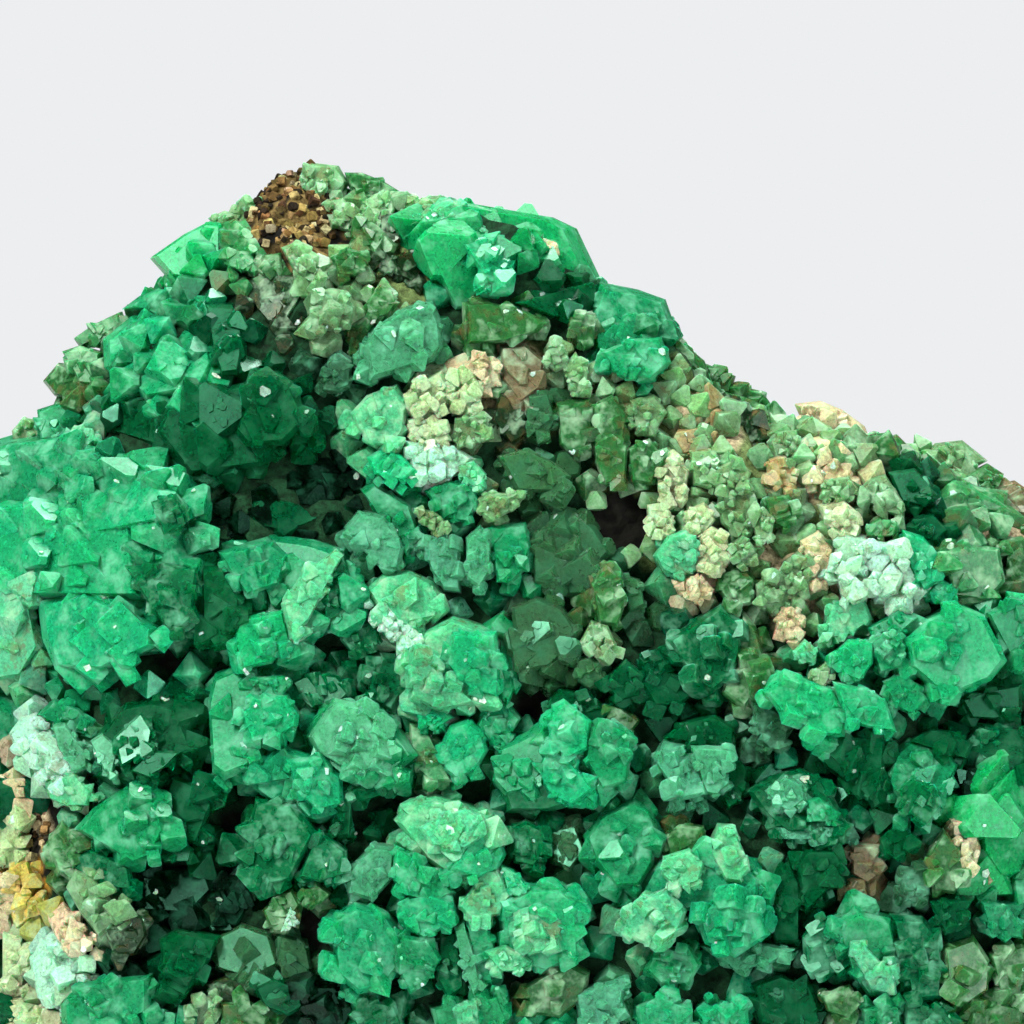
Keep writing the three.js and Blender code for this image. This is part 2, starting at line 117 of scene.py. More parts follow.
# Crystals of the front face: tone, height over the rock in millimetres, and outline in tenths of a
# millimetre, to the right of the face's left edge and down from its top
FACE_LEFT = -51.2
FACE_TOP = 115.4
TENTHS = 10
CHUNKS = [
    # Peak
    ("jade", 2.4, [(150, 255), (183, 232), (207, 220), (221, 222), (222, 262), (212, 285), (170, 277)]),
    ("leaf", 2.7, [(219, 221), (234, 217), (246, 228), (251, 250), (238, 257), (224, 250)]),
    ("leaf", 2.4, [(224, 250), (250, 249), (255, 262), (243, 271), (228, 266)]),
    ("pale", 1.5, [(206, 214), (222, 207), (240, 212), (236, 220), (214, 221)]),
    ("pale", 1.8, [(220, 200), (234, 189), (252, 184), (262, 191), (260, 205), (240, 211), (226, 210)]),
    ("pale", 2.4, [(300, 172), (310, 161), (336, 164), (346, 181), (341, 193), (328, 197), (312, 191)]),
    ("moss", 1.5, [(346, 172), (362, 172), (382, 180), (398, 190), (385, 197), (362, 195), (350, 186)]),
    ("pale", 3.3, [(362, 201), (375, 192), (391, 192), (394, 209), (388, 221), (375, 219)]),
    ("pale", 1.8, [(325, 200), (342, 197), (352, 210), (350, 232), (335, 228), (322, 215)]),
    ("moss", 1.8, [(352, 218), (372, 220), (385, 232), (380, 245), (362, 248), (350, 236)]),
    ("pale", 3.3, [(280, 246), (295, 240), (312, 252), (323, 268), (321, 286), (308, 282), (292, 268)]),
    ("moss", 2.4, [(333, 258), (347, 248), (366, 252), (368, 266), (354, 276), (338, 275)]),
    ("moss", 1.2, [(253, 255), (280, 252), (282, 268), (262, 275), (250, 268)]),
    ("olive", 1.0, [(235, 275), (262, 268), (300, 275), (308, 292), (284, 328), (268, 326), (240, 290)]),
    ("pale", 4.2, [(313, 291), (330, 287), (347, 290), (356, 306), (350, 326), (334, 331), (316, 328)]),
    ("moss", 2.4, [(366, 302), (380, 284), (392, 290), (397, 303), (388, 315), (374, 319)]),
    ("moss", 1.5, [(405, 205), (425, 198), (440, 208), (432, 230), (415, 238), (403, 225)]),
    ("moss", 1.5, [(425, 240), (440, 233), (455, 240), (460, 265), (445, 272), (428, 262)]),
    ("olive", 1.2, [(395, 255), (415, 250), (425, 268), (412, 282), (398, 275)]),
    ("olive", 1.2, [(375, 245), (392, 240), (400, 262), (392, 275), (378, 270)]),
    ("olive", 1.2, [(380, 215), (398, 212), (405, 228), (395, 242), (380, 236)]),
    ("slate", 2.7, [(329, 361), (340, 352), (351, 361), (350, 388), (337, 394), (322, 391)]),
    ("moss", 1.2, [(350, 330), (362, 325), (368, 345), (360, 362), (348, 350)]),
    ("frost", 4.8, [(362, 346), (380, 322), (406, 305), (432, 299), (441, 322), (443, 346), (433, 361),
                    (369, 381)]),
    # Upper left
    ("emerald", 2.4, [(122, 306), (138, 294), (156, 287), (182, 296), (210, 296), (222, 306), (200, 316)]),
    ("bright", 5.0, [(97, 337), (125, 313), (150, 308), (211, 326), (217, 366), (206, 391), (146, 401),
                     (100, 366)]),
    ("teal", 2.7, [(203, 301), (230, 303), (241, 325), (241, 356), (238, 374), (222, 376), (212, 350)]),
    ("teal", 4.2, [(150, 432), (160, 408), (186, 396), (262, 376), (285, 396), (290, 440), (262, 468),
                   (186, 478)]),
    ("teal", 6.0, [(243, 412), (258, 385), (273, 371), (290, 381), (308, 420), (284, 444), (245, 446),
                   (234, 432)]),
    ("teal", 2.1, [(298, 404), (312, 419), (323, 444), (290, 446)]),
    ("teal", 2.1, [(70, 420), (95, 400), (130, 397), (165, 400), (185, 425), (170, 450), (118, 432)]),
    ("moss", 2.4, [(40, 380), (55, 363), (78, 366), (100, 394), (82, 402), (52, 394)]),
    ("leaf", 2.4, [(60, 351), (78, 345), (99, 352), (98, 386), (80, 384)]),
    ("leaf", 1.8, [(73, 337), (92, 324), (118, 312), (122, 322), (100, 336), (80, 346)]),
    ("pale", 1.8, [(0, 425), (8, 416), (30, 412), (38, 425), (20, 435), (2, 436)]),
    ("emerald", 1.8, [(35, 410), (60, 402), (75, 420), (62, 440), (40, 440)]),
    ("mint", 2.4, [(62, 440), (72, 425), (92, 428), (96, 440), (80, 452)]),
    # Large crystal at the left
    ("emerald", 5.6, [(-60, 460), (0, 443), (60, 438), (125, 455), (178, 488), (198, 566), (192, 625),
                      (60, 678), (-20, 690), (-60, 640)]),
    ("bright", 7.4, [(-50, 470), (10, 450), (70, 446), (128, 470), (178, 492), (184, 520), (60, 545),
                     (-40, 540)]),
    ("bright", 8.4, [(-55, 520), (0, 500), (100, 510), (142, 522), (150, 600), (0, 600), (-50, 580)]),
    ("bright", 8.0, [(30, 602), (80, 592), (128, 612), (158, 628), (157, 646), (100, 672), (50, 670),
                     (36, 640)]),
    ("sea", 6.8, [(122, 566), (198, 566), (181, 590), (192, 622), (172, 638), (148, 606)]),
    ("sea", 7.6, [(150, 502), (175, 494), (189, 512), (183, 528), (163, 535)]),
    ("mint", 7.0, [(-40, 560), (0, 560), (30, 600), (40, 650), (20, 682), (-30, 690)]),
    # Stained growth at the left edge, and other stained spots
    ("cream", 3.6, [(-20, 752), (6, 745), (16, 772), (14, 812), (-20, 820)]),
    ("straw", 3.0, [(-20, 812), (14, 810), (26, 846), (20, 868), (-20, 880)]),
    ("rust", 3.3, [(6, 866), (26, 860), (34, 884), (30, 922), (14, 934), (4, 905)]),
    ("cream", 3.3, [(-20, 880), (4, 876), (12, 905), (6, 936), (-20, 940)]),
    ("umber", 2.4, [(842, 892), (852, 879), (866, 880), (868, 898), (852, 908)]),
    ("cream", 5.0, [(532, 244), (542, 236), (557, 241), (560, 253), (546, 261), (534, 256)]),
    ("umber", 2.4, [(1000, 470), (1024, 466), (1044, 480), (1024, 498), (1004, 492)]),
    # Hollow right of it, and the crystals below
    # painted shade: near-black crystals in the hollow
    ("painted_shade", 0.4, [(200, 505), (235, 498), (245, 530), (225, 545), (202, 548)]),
    ("teal", 1.0, [(254, 506), (280, 499), (312, 505), (333, 512), (308, 524), (282, 532), (262, 527)]),
    ("painted_shade", 0.4, [(290, 465), (340, 450), (366, 470), (355, 500), (310, 505)]),
    ("emerald", 4.2, [(200, 562), (224, 548), (268, 534), (312, 540), (342, 550), (359, 592), (340, 626),
                      (246, 672), (203, 650)]),
    ("bright", 5.6, [(236, 618), (284, 610), (292, 640), (271, 664), (242, 670), (233, 645)]),
    ("emerald", 5.6, [(216, 552), (266, 537), (288, 556), (280, 585), (246, 596), (228, 572)]),
    ("mint", 6.2, [(280, 604), (300, 575), (334, 550), (342, 556), (322, 590), (308, 622), (290, 640)]),
    ("teal", 5.2, [(200, 566), (222, 566), (240, 600), (234, 648), (214, 652), (202, 630)]),
    ("sea", 4.8, [(322, 585), (342, 556), (358, 592), (352, 613), (324, 624)]),
    # Pale heart of the specimen
    ("emerald", 3.0, [(360, 490), (372, 482), (410, 505), (419, 532), (408, 560), (398, 540), (384, 512)]),
    ("frost", 4.2, [(344, 528), (358, 511), (384, 515), (404, 548), (399, 570), (384, 572), (360, 550)]),
    ("mint", 4.5, [(350, 413), (366, 395), (396, 384), (408, 402), (404, 432), (394, 448), (372, 446),
                   (356, 428)]),
    ("straw", 4.2, [(402, 396), (418, 380), (442, 370), (452, 392), (445, 415), (420, 422), (404, 412)]),
    ("straw", 4.0, [(445, 375), (468, 368), (484, 388), (476, 412), (452, 415)]),
    ("straw", 4.0, [(405, 418), (440, 418), (452, 440), (432, 448), (408, 438)]),
    ("pale", 3.6, [(455, 418), (484, 414), (490, 434), (468, 448), (452, 440)]),
    ("bright", 4.8, [(366, 457), (384, 446), (402, 455), (416, 470), (404, 481), (374, 474)]),
    ("ice", 4.2, [(404, 440), (430, 444), (458, 448), (474, 458), (460, 474), (428, 486), (410, 470)]),
    ("mint", 4.0, [(458, 466), (474, 460), (486, 474), (479, 491), (464, 482)]),
    ("emerald", 3.6, [(424, 491), (446, 480), (474, 486), (480, 500), (468, 523), (446, 520)]),
    ("pale", 3.3, [(414, 508), (436, 512), (452, 528), (440, 534), (420, 524)]),
    ("smoky", 3.9, [(498, 456), (526, 449), (552, 461), (571, 476), (562, 493), (516, 491)]),
    ("pale", 4.2, [(476, 499), (486, 493), (527, 493), (516, 508), (498, 518), (482, 514)]),
    ("cream", 2.7, [(462, 365), (480, 352), (498, 362), (502, 385), (484, 392), (468, 382)]),
    ("umber", 2.4, [(500, 345), (525, 342), (545, 360), (540, 390), (520, 405), (502, 380)]),
    ("olive", 2.1, [(500, 390), (520, 405), (528, 435), (512, 445), (492, 420)]),
    ("smoky", 2.7, [(528, 395), (548, 392), (556, 420), (545, 440), (528, 425)]),
    ("pale", 3.6, [(546, 352), (556, 340), (568, 352), (568, 366), (556, 372), (546, 364)]),
    ("pale", 3.3, [(563, 366), (576, 352), (588, 372), (586, 392), (572, 396)]),
    ("moss", 2.7, [(556, 402), (590, 398), (594, 430), (580, 462), (560, 445)]),
    # Top right
    ("jade", 4.2, [(436, 208), (452, 199), (500, 208), (550, 213), (572, 223), (597, 276), (545, 305),
                   (512, 302), (488, 286), (462, 246), (440, 234)]),
    ("mint", 5.0, [(436, 208), (452, 199), (498, 208), (484, 234), (458, 238), (440, 233)]),
    ("bright", 5.4, [(461, 243), (492, 232), (524, 226), (520, 258), (503, 288), (488, 284)]),
    ("teal", 3.3, [(515, 303), (548, 304), (575, 290), (598, 277), (600, 298), (580, 316), (552, 318)]),
    ("emerald", 4.2, [(590, 312), (601, 282), (640, 289), (666, 298), (686, 356), (676, 376), (640, 381),
                      (592, 350)]),
    ("frost", 4.9, [(602, 300), (632, 296), (664, 304), (668, 326), (640, 334), (612, 330)]),
    ("emerald", 5.2, [(600, 352), (632, 338), (662, 336), (672, 362), (652, 380), (612, 372)]),
    ("moss", 2.7, [(572, 330), (580, 312), (596, 312), (594, 345), (584, 350)]),
    ("moss", 3.3, [(463, 302), (488, 301), (528, 311), (546, 323), (538, 332), (504, 342), (466, 344)]),
    ("moss", 2.1, [(672, 352), (690, 348), (705, 360), (712, 380), (694, 392), (676, 378)]),
    ("moss", 2.1, [(706, 352), (722, 358), (745, 368), (740, 385), (718, 388)]),
    ("moss", 1.8, [(742, 372), (768, 378), (780, 395), (764, 405), (746, 396)]),
    ("cream", 2.1, [(800, 405), (825, 402), (845, 410), (866, 425), (872, 440), (850, 450), (815, 440)]),
    ("moss", 2.4, [(868, 456), (884, 440), (900, 435), (917, 452), (906, 466), (882, 470)]),
    ("pale", 2.7, [(925, 456), (940, 444), (966, 441), (990, 460), (962, 474), (936, 476)]),
    ("moss", 1.8, [(965, 476), (990, 464), (1006, 474), (998, 486), (975, 490)]),
    # Pale druse at the right
    ("moss", 3.3, [(597, 402), (612, 395), (628, 412), (624, 440), (606, 448), (596, 430)]),
    ("moss", 3.6, [(596, 440), (612, 432), (628, 445), (626, 478), (606, 486), (596, 462)]),
    ("pale", 3.3, [(630, 400), (655, 394), (668, 412), (655, 432), (634, 428)]),
    ("moss", 3.3, [(628, 448), (650, 438), (662, 455), (652, 485), (632, 482)]),
    ("straw", 3.3, [(655, 470), (672, 455), (690, 470), (684, 500), (664, 505)]),
    ("straw", 3.6, [(648, 505), (665, 502), (676, 522), (664, 538), (650, 528)]),
    ("tan", 2.7, [(684, 395), (710, 392), (738, 402), (736, 428), (712, 450), (690, 440)]),
    ("pale", 3.3, [(690, 450), (712, 448), (722, 466), (712, 490), (694, 485)]),
    ("pale", 3.3, [(716, 468), (738, 458), (752, 472), (745, 492), (722, 494)]),
    ("olive", 3.0, [(738, 404), (765, 410), (770, 430), (752, 445), (736, 430)]),
    ("pale", 3.3, [(770, 450), (778, 432), (798, 430), (800, 442), (786, 456)]),
    ("cream", 2.7, [(800, 440), (830, 436), (855, 450), (852, 478), (822, 484), (800, 470)]),
    ("tan", 2.4, [(768, 458), (786, 455), (800, 470), (795, 490), (772, 484)]),
    ("pale", 3.6, [(718, 504), (732, 490), (756, 490), (758, 516), (736, 536), (722, 524)]),
    ("moss", 2.7, [(765, 498), (790, 494), (800, 512), (786, 530), (770, 522)]),
    ("pale", 3.6, [(752, 522), (764, 507), (776, 516), (772, 538), (758, 542)]),
    ("straw", 3.6, [(684, 512), (705, 502), (716, 520), (704, 536), (688, 532)]),
    ("mint", 4.3, [(654, 556), (668, 536), (686, 530), (701, 546), (698, 572), (680, 579), (662, 571)]),
    ("straw", 4.3, [(700, 536), (712, 526), (728, 534), (731, 556), (720, 572), (704, 566)]),
    ("pale", 3.9, [(730, 546), (744, 534), (757, 549), (755, 566), (740, 568)]),
    ("cream", 3.9, [(672, 580), (700, 575), (715, 590), (700, 602), (680, 595)]),
    ("moss", 3.3, [(722, 572), (742, 566), (756, 578), (752, 604), (732, 608), (720, 592)]),
    ("pale", 3.6, [(756, 585), (776, 570), (792, 575), (790, 605), (772, 615), (758, 602)]),
    ("pale", 3.9, [(784, 565), (800, 552), (812, 560), (810, 590), (796, 605), (784, 590)]),
    ("cream", 3.3, [(800, 540), (820, 530), (834, 548), (830, 580), (812, 585)]),
    ("cream", 3.3, [(780, 605), (800, 602), (804, 625), (796, 645), (780, 632)]),
    ("straw", 3.6, [(820, 505), (845, 500), (862, 515), (850, 535), (828, 528)]),
    ("pale", 4.0, [(862, 490), (872, 477), (888, 474), (906, 504), (905, 518), (884, 512), (868, 502)]),
    ("pale", 3.0, [(824, 480), (850, 476), (862, 492), (846, 502), (828, 498)]),
    ("leaf", 3.3, [(868, 526), (880, 518), (898, 525), (894, 536), (874, 537)]),
    ("ice", 4.6, [(834, 560), (846, 532), (870, 536), (874, 570), (868, 602), (844, 602)]),
    ("ice", 5.0, [(868, 540), (904, 544), (910, 570), (926, 592), (904, 606), (876, 604), (870, 575)]),
    ("bright", 4.2, [(904, 530), (925, 536), (942, 556), (940, 582), (924, 592), (910, 568)]),
    ("bright", 3.8, [(928, 592), (942, 578), (960, 590), (952, 604), (934, 604)]),
    ("mint", 3.8, [(830, 604), (866, 598), (874, 620), (850, 636), (824, 640)]),
    ("teal", 2.7, [(890, 472), (916, 468), (932, 486), (920, 506), (902, 502)]),
    ("teal", 2.4, [(912, 520), (934, 514), (948, 530), (936, 542), (918, 536)]),
    ("leaf", 3.0, [(942, 508), (956, 485), (986, 490), (1012, 492), (1008, 528), (985, 538), (952, 542)]),
    ("leaf", 3.6, [(944, 552), (966, 544), (1002, 548), (1008, 582), (990, 602), (952, 598)]),
    ("moss", 2.4, [(1004, 540), (1024, 536), (1050, 560), (1040, 600), (1010, 585)]),
    ("umber", 1.8, [(1008, 500), (1024, 490), (1040, 520), (1024, 545), (1010, 530)]),
    # Middle
    ("frost", 3.6, [(420, 541), (441, 533), (459, 541), (460, 592), (444, 590), (432, 572)]),
    ("frost", 4.0, [(466, 538), (480, 525), (491, 541), (490, 572), (479, 589), (467, 580)]),
    ("emerald", 3.6, [(490, 526), (526, 522), (531, 546), (523, 572), (508, 586), (494, 572)]),
    ("smoky", 2.7, [(530, 532), (552, 520), (576, 511), (596, 526), (612, 552), (600, 566), (560, 592),
                    (530, 586)]),
    ("smoky", 3.9, [(510, 606), (536, 596), (562, 606), (577, 628), (570, 652), (548, 669), (528, 672),
                    (516, 640)]),
    ("moss", 3.6, [(590, 582), (606, 565), (621, 576), (626, 602), (618, 628), (600, 624)]),
    ("pale", 4.0, [(580, 642), (592, 622), (608, 626), (617, 646), (600, 656), (584, 653)]),
    ("smoky", 2.4, [(620, 575), (640, 580), (645, 605), (630, 612)]),
    ("mint", 4.6, [(365, 590), (382, 575), (408, 570), (432, 582), (446, 602), (438, 618), (402, 626),
                   (380, 614)]),
    ("ice", 4.8, [(370, 612), (388, 606), (402, 622), (398, 640), (382, 632)]),
    ("ice", 5.4, [(395, 632), (406, 620), (419, 634), (419, 655), (408, 661), (396, 656)]),
    ("sea", 3.3, [(362, 652), (396, 655), (404, 690), (392, 712), (370, 700), (366, 675)]),
    ("sea", 3.0, [(345, 620), (378, 622), (380, 645), (352, 655), (340, 640)]),
    ("mint", 5.8, [(402, 666), (424, 632), (452, 617), (490, 630), (501, 642), (500, 692), (440, 713),
                   (416, 704)]),
    ("bright", 6.8, [(452, 632), (496, 632), (500, 668), (499, 700), (470, 692), (444, 664)]),
    ("mint", 6.8, [(404, 668), (420, 655), (446, 678), (478, 704), (440, 712), (414, 700)]),
    ("emerald", 4.2, [(500, 640), (514, 650), (516, 685), (508, 705), (501, 690)]),
    ("bright", 4.6, [(414, 713), (440, 708), (454, 718), (436, 729), (420, 724)]),
    ("bright", 5.0, [(438, 750), (450, 726), (468, 720), (482, 731), (488, 751), (476, 772), (456, 781),
                     (444, 772)]),
    ("leaf", 3.8, [(408, 722), (426, 728), (436, 758), (452, 782), (432, 784), (412, 764)]),
    ("emerald", 3.6, [(486, 706), (508, 705), (521, 719), (504, 748), (488, 742), (476, 726)]),
    ("sea", 4.8, [(667, 640), (690, 625), (722, 605), (744, 622), (742, 652), (736, 676), (712, 695),
                  (690, 680)]),
    ("moss", 3.8, [(744, 610), (757, 626), (764, 652), (757, 692), (744, 710), (722, 694), (738, 676)]),
    ("teal", 3.8, [(640, 682), (662, 668), (694, 682), (696, 694), (680, 706), (654, 706)]),
    ("teal", 3.6, [(603, 682), (626, 660), (646, 676), (640, 696), (618, 702)]),
    ("smoky", 3.0, [(577, 660), (592, 656), (605, 678), (590, 690), (578, 682)]),
    ("teal", 3.0, [(640, 655), (660, 650), (672, 665), (660, 678), (644, 672)]),
    # Ledge at the right
    ("bright", 7.0, [(904, 642), (930, 620), (962, 605), (988, 616), (1011, 662), (994, 682), (946, 701),
                     (908, 668)]),
    ("emerald", 5.0, [(985, 612), (1024, 598), (1060, 610), (1060, 650), (1015, 668), (1004, 642)]),
    ("bright", 6.4, [(834, 656), (850, 640), (876, 641), (874, 664), (860, 682), (844, 676)]),
    ("emerald", 5.8, [(870, 642), (892, 630), (908, 646), (902, 668), (880, 674)]),
    ("emerald", 6.2, [(884, 682), (906, 670), (930, 700), (914, 716), (894, 706)]),
    ("bright", 7.2, [(764, 692), (780, 672), (836, 688), (852, 716), (846, 738), (820, 736), (782, 716)]),
    ("bright", 7.0, [(834, 682), (872, 690), (888, 702), (898, 733), (868, 728), (846, 722)]),
    ("pale", 5.8, [(814, 672), (838, 655), (840, 672), (826, 688), (814, 686)]),
    ("mint", 5.0, [(794, 652), (806, 640), (818, 650), (816, 664), (800, 662)]),
    ("slate", 4.2, [(752, 702), (776, 710), (792, 726), (786, 746), (770, 751), (756, 730)]),
    ("emerald", 4.6, [(868, 628), (900, 612), (918, 618), (900, 634), (876, 642)]),
    # Lower left
    ("ice", 5.6, [(4, 736), (16, 719), (32, 714), (46, 721), (52, 742), (72, 774), (58, 788), (38, 778),
                  (14, 756)]),
    ("mint", 5.0, [(40, 782), (62, 784), (74, 774), (92, 792), (88, 806), (66, 808), (46, 800)]),
    ("frost", 5.0, [(50, 725), (63, 724), (87, 754), (88, 768), (74, 774), (56, 748)]),
    ("emerald", 3.8, [(34, 716), (52, 700), (78, 709), (91, 722), (86, 736), (60, 728)]),
    ("teal", 4.2, [(88, 742), (122, 705), (152, 699), (178, 706), (198, 752), (166, 770), (130, 790),
                   (104, 780)]),
    ("sea", 5.6, [(112, 738), (140, 712), (152, 730), (148, 752), (120, 768)]),
    ("teal", 6.0, [(128, 772), (150, 752), (180, 752), (164, 768), (146, 778)]),
    ("frost", 5.4, [(88, 742), (100, 734), (118, 748), (112, 776), (102, 768)]),
    ("emerald", 6.0, [(70, 832), (90, 810), (124, 788), (158, 800), (167, 830), (152, 858), (134, 866),
                      (96, 846)]),
    ("teal", 3.8, [(160, 800), (170, 776), (213, 790), (212, 806), (196, 846), (170, 840)]),
    ("teal", 3.6, [(150, 846), (176, 838), (193, 850), (190, 862), (164, 863)]),
    ("moss", 3.8, [(40, 850), (60, 820), (76, 836), (80, 850), (64, 872), (44, 870)]),
    ("sea", 3.0, [(60, 862), (90, 850), (130, 868), (134, 890), (100, 888)]),
    # painted shade: near-black crystals in the dark gap
    ("painted_shade", 1.5, [(110, 880), (150, 870), (205, 865), (215, 890), (190, 915), (140, 912)]),
    ("painted_shade", 1.0, [(215, 880), (240, 870), (250, 905), (235, 930), (215, 920)]),
    ("pale", 5.0, [(62, 891), (72, 872), (92, 880), (117, 910), (110, 930), (98, 940), (80, 920)]),
    ("ice", 5.0, [(24, 962), (36, 938), (62, 950), (89, 960), (76, 990), (56, 1012), (34, 1002)]),
    ("cream", 4.2, [(40, 915), (60, 905), (80, 925), (92, 945), (80, 955), (56, 945)]),
    ("straw", 3.8, [(0, 935), (20, 940), (26, 965), (20, 1000), (0, 1010)]),
    ("straw", 3.8, [(0, 1000), (22, 1000), (40, 1010), (50, 1040), (0, 1040)]),
    ("olive", 3.3, [(104, 934), (126, 914), (143, 916), (146, 936), (134, 956), (116, 961)]),
    # painted shade: a near-black crystal in a dark gap
    ("painted_shade", 2.1, [(90, 960), (110, 955), (140, 965), (150, 975), (110, 985)]),
    ("teal", 4.2, [(158, 942), (176, 932), (219, 938), (206, 966), (184, 1000), (166, 990)]),
    ("emerald", 5.0, [(58, 1008), (80, 985), (122, 979), (150, 976), (150, 1012), (110, 1030), (60, 1040)]),
    ("pale", 4.0, [(180, 1012), (200, 995), (220, 1002), (215, 1040), (185, 1040)]),
    ("moss", 4.0, [(220, 1003), (250, 1002), (268, 1018), (262, 1045), (220, 1045)]),
    ("teal", 3.8, [(254, 988), (274, 978), (296, 986), (304, 1008), (288, 1018), (264, 1008)]),
    ("olive", 3.0, [(205, 985), (225, 978), (255, 985), (240, 1000), (212, 998)]),
    ("smoky", 2.7, [(210, 940), (240, 925), (270, 935), (280, 965), (250, 980), (215, 970)]),
    ("smoky", 2.4, [(280, 935), (305, 940), (312, 970), (290, 980), (275, 965)]),
    ("moss", 3.0, [(262, 912), (275, 895), (292, 890), (300, 905), (285, 925), (270, 928)]),
    ("ice", 3.8, [(280, 933), (290, 908), (298, 924)]),
    ("moss", 3.0, [(300, 890), (318, 885), (330, 895), (320, 905), (305, 902)]),
    ("emerald", 5.2, [(206, 702), (212, 676), (232, 668), (256, 678), (270, 692), (250, 770), (224, 780),
                      (212, 772)]),
    ("bright", 6.0, [(238, 712), (262, 694), (286, 696), (298, 716), (297, 727), (276, 738), (250, 745)]),
    ("emerald", 4.8, [(250, 678), (282, 676), (291, 682), (282, 696), (262, 692)]),
    ("sea", 3.3, [(290, 682), (312, 672), (338, 676), (352, 692), (338, 706), (310, 710), (298, 700)]),
    ("emerald", 5.8, [(300, 736), (330, 695), (382, 710), (418, 756), (382, 785), (356, 790), (312, 757)]),
    ("frost", 6.8, [(306, 738), (334, 700), (366, 706), (384, 742), (380, 768), (350, 775), (316, 756)]),
    ("teal", 4.8, [(352, 790), (382, 784), (418, 757), (414, 770), (384, 796), (358, 803)]),
    ("emerald", 5.0, [(250, 768), (276, 746), (312, 756), (342, 776), (344, 818), (318, 825), (286, 815),
                      (252, 790)]),
    ("bright", 5.8, [(285, 760), (312, 757), (342, 777), (343, 806), (318, 812), (296, 795)]),
    ("sea", 5.4, [(238, 868), (252, 832), (254, 800), (292, 802), (316, 834), (290, 884), (258, 891)]),
    ("sea", 4.8, [(298, 878), (306, 856), (318, 830), (346, 852), (346, 876), (320, 883)]),
    ("teal", 3.6, [(344, 780), (352, 800), (350, 835), (338, 838), (330, 826), (344, 818)]),
    # Lower middle
    ("emerald", 4.6, [(488, 772), (500, 745), (545, 725), (600, 735), (634, 745), (628, 782), (590, 803),
                      (545, 815), (505, 815)]),
    ("bright", 6.0, [(548, 742), (552, 706), (564, 700), (592, 722), (588, 750), (566, 762)]),
    ("emerald", 5.6, [(588, 724), (616, 724), (634, 734), (628, 784), (602, 792), (584, 760)]),
    ("bright", 6.0, [(548, 745), (570, 760), (595, 790), (572, 808), (548, 795), (535, 770)]),
    ("emerald", 5.4, [(500, 748), (545, 728), (552, 760), (530, 790), (505, 796), (492, 782)]),
    ("teal", 3.3, [(543, 708), (560, 690), (592, 695), (612, 714), (604, 724), (586, 714), (565, 700)]),
    ("moss", 2.7, [(604, 705), (620, 708), (640, 722), (632, 732), (614, 724)]),
    ("mint", 5.6, [(394, 822), (410, 802), (436, 798), (492, 816), (506, 856), (498, 871), (466, 891),
                   (424, 860)]),
    ("mint", 6.6, [(418, 828), (446, 814), (466, 808), (483, 820), (484, 838), (466, 850), (430, 846)]),
    ("bright", 6.2, [(470, 850), (486, 818), (496, 830), (506, 856), (498, 871), (476, 880), (450, 870)]),
    ("frost", 4.0, [(346, 872), (374, 846), (396, 848), (392, 880), (372, 902), (350, 895)]),
    ("bright", 4.8, [(394, 846), (424, 862), (456, 894), (436, 906), (404, 896), (392, 880)]),
    ("bright", 4.8, [(396, 914), (402, 898), (432, 894), (452, 902), (450, 926), (424, 940), (406, 930)]),
    ("bright", 5.6, [(332, 920), (354, 905), (386, 914), (404, 940), (404, 964), (384, 990), (358, 996),
                     (334, 975)]),
    ("emerald", 4.8, [(402, 936), (430, 940), (442, 960), (426, 985), (410, 996), (400, 978)]),
    ("sea", 3.6, [(440, 935), (456, 930), (460, 965), (464, 990), (448, 1000), (436, 980)]),
    ("mint", 5.6, [(458, 908), (476, 884), (498, 867), (512, 896), (500, 916), (470, 921)]),
    ("bright", 5.4, [(500, 866), (514, 872), (528, 887), (520, 898), (508, 894)]),
    ("bright", 5.6, [(498, 904), (530, 888), (562, 887), (579, 900), (582, 960), (546, 976), (514, 966),
                     (500, 940)]),
    ("mint", 6.5, [(520, 915), (552, 908), (566, 925), (556, 950), (530, 956), (518, 938)]),
    ("mint", 5.6, [(484, 952), (506, 946), (532, 962), (520, 972), (500, 972)]),
    ("frost", 5.0, [(454, 928), (464, 924), (474, 955), (480, 988), (474, 998), (462, 966)]),
    ("emerald", 4.6, [(466, 925), (486, 920), (496, 950), (492, 985), (480, 985), (472, 950)]),
    ("moss", 4.2, [(522, 988), (548, 980), (566, 962), (590, 975), (586, 1000), (560, 1020), (530, 1015)]),
    ("frost", 4.2, [(575, 995), (600, 985), (626, 978), (622, 1010), (606, 1035), (580, 1030)]),
    ("sea", 3.6, [(508, 832), (526, 822), (544, 831), (546, 852), (534, 868), (514, 864)]),
    ("smoky", 2.4, [(552, 830), (575, 825), (585, 850), (570, 870), (552, 862)]),
    ("emerald", 4.6, [(584, 838), (602, 814), (636, 800), (652, 809), (659, 828), (654, 866), (640, 888),
                      (616, 890), (594, 864)]),
    ("frost", 5.0, [(654, 762), (666, 740), (694, 744), (708, 795), (682, 801), (668, 780)]),
    ("frost", 4.8, [(690, 745), (733, 748), (726, 784), (718, 797), (706, 794)]),
    ("teal", 3.8, [(664, 738), (684, 722), (716, 716), (736, 728), (736, 748), (696, 744)]),
    ("teal", 3.0, [(735, 750), (748, 770), (742, 800), (728, 810), (722, 796)]),
    ("moss", 3.8, [(665, 840), (680, 826), (704, 828), (708, 846), (688, 856), (668, 856)]),
    ("bright", 5.4, [(634, 898), (650, 870), (668, 856), (712, 846), (742, 862), (765, 880), (762, 906),
                     (660, 915)]),
    ("mint", 6.6, [(710, 852), (720, 828), (734, 829), (746, 856), (742, 884), (726, 882)]),
    ("mint", 6.4, [(664, 858), (690, 850), (706, 862), (700, 882), (676, 890), (662, 876)]),
    ("mint", 6.4, [(622, 918), (640, 900), (668, 890), (688, 912), (680, 932), (652, 948), (630, 940)]),
    ("bright", 6.6, [(694, 912), (728, 898), (760, 904), (771, 936), (736, 960), (706, 946)]),
    ("frost", 4.2, [(700, 948), (735, 962), (770, 945), (795, 950), (770, 965), (735, 972)]),
    ("emerald", 3.8, [(652, 955), (690, 945), (702, 965), (690, 985), (660, 985), (645, 970)]),
    # Lower right
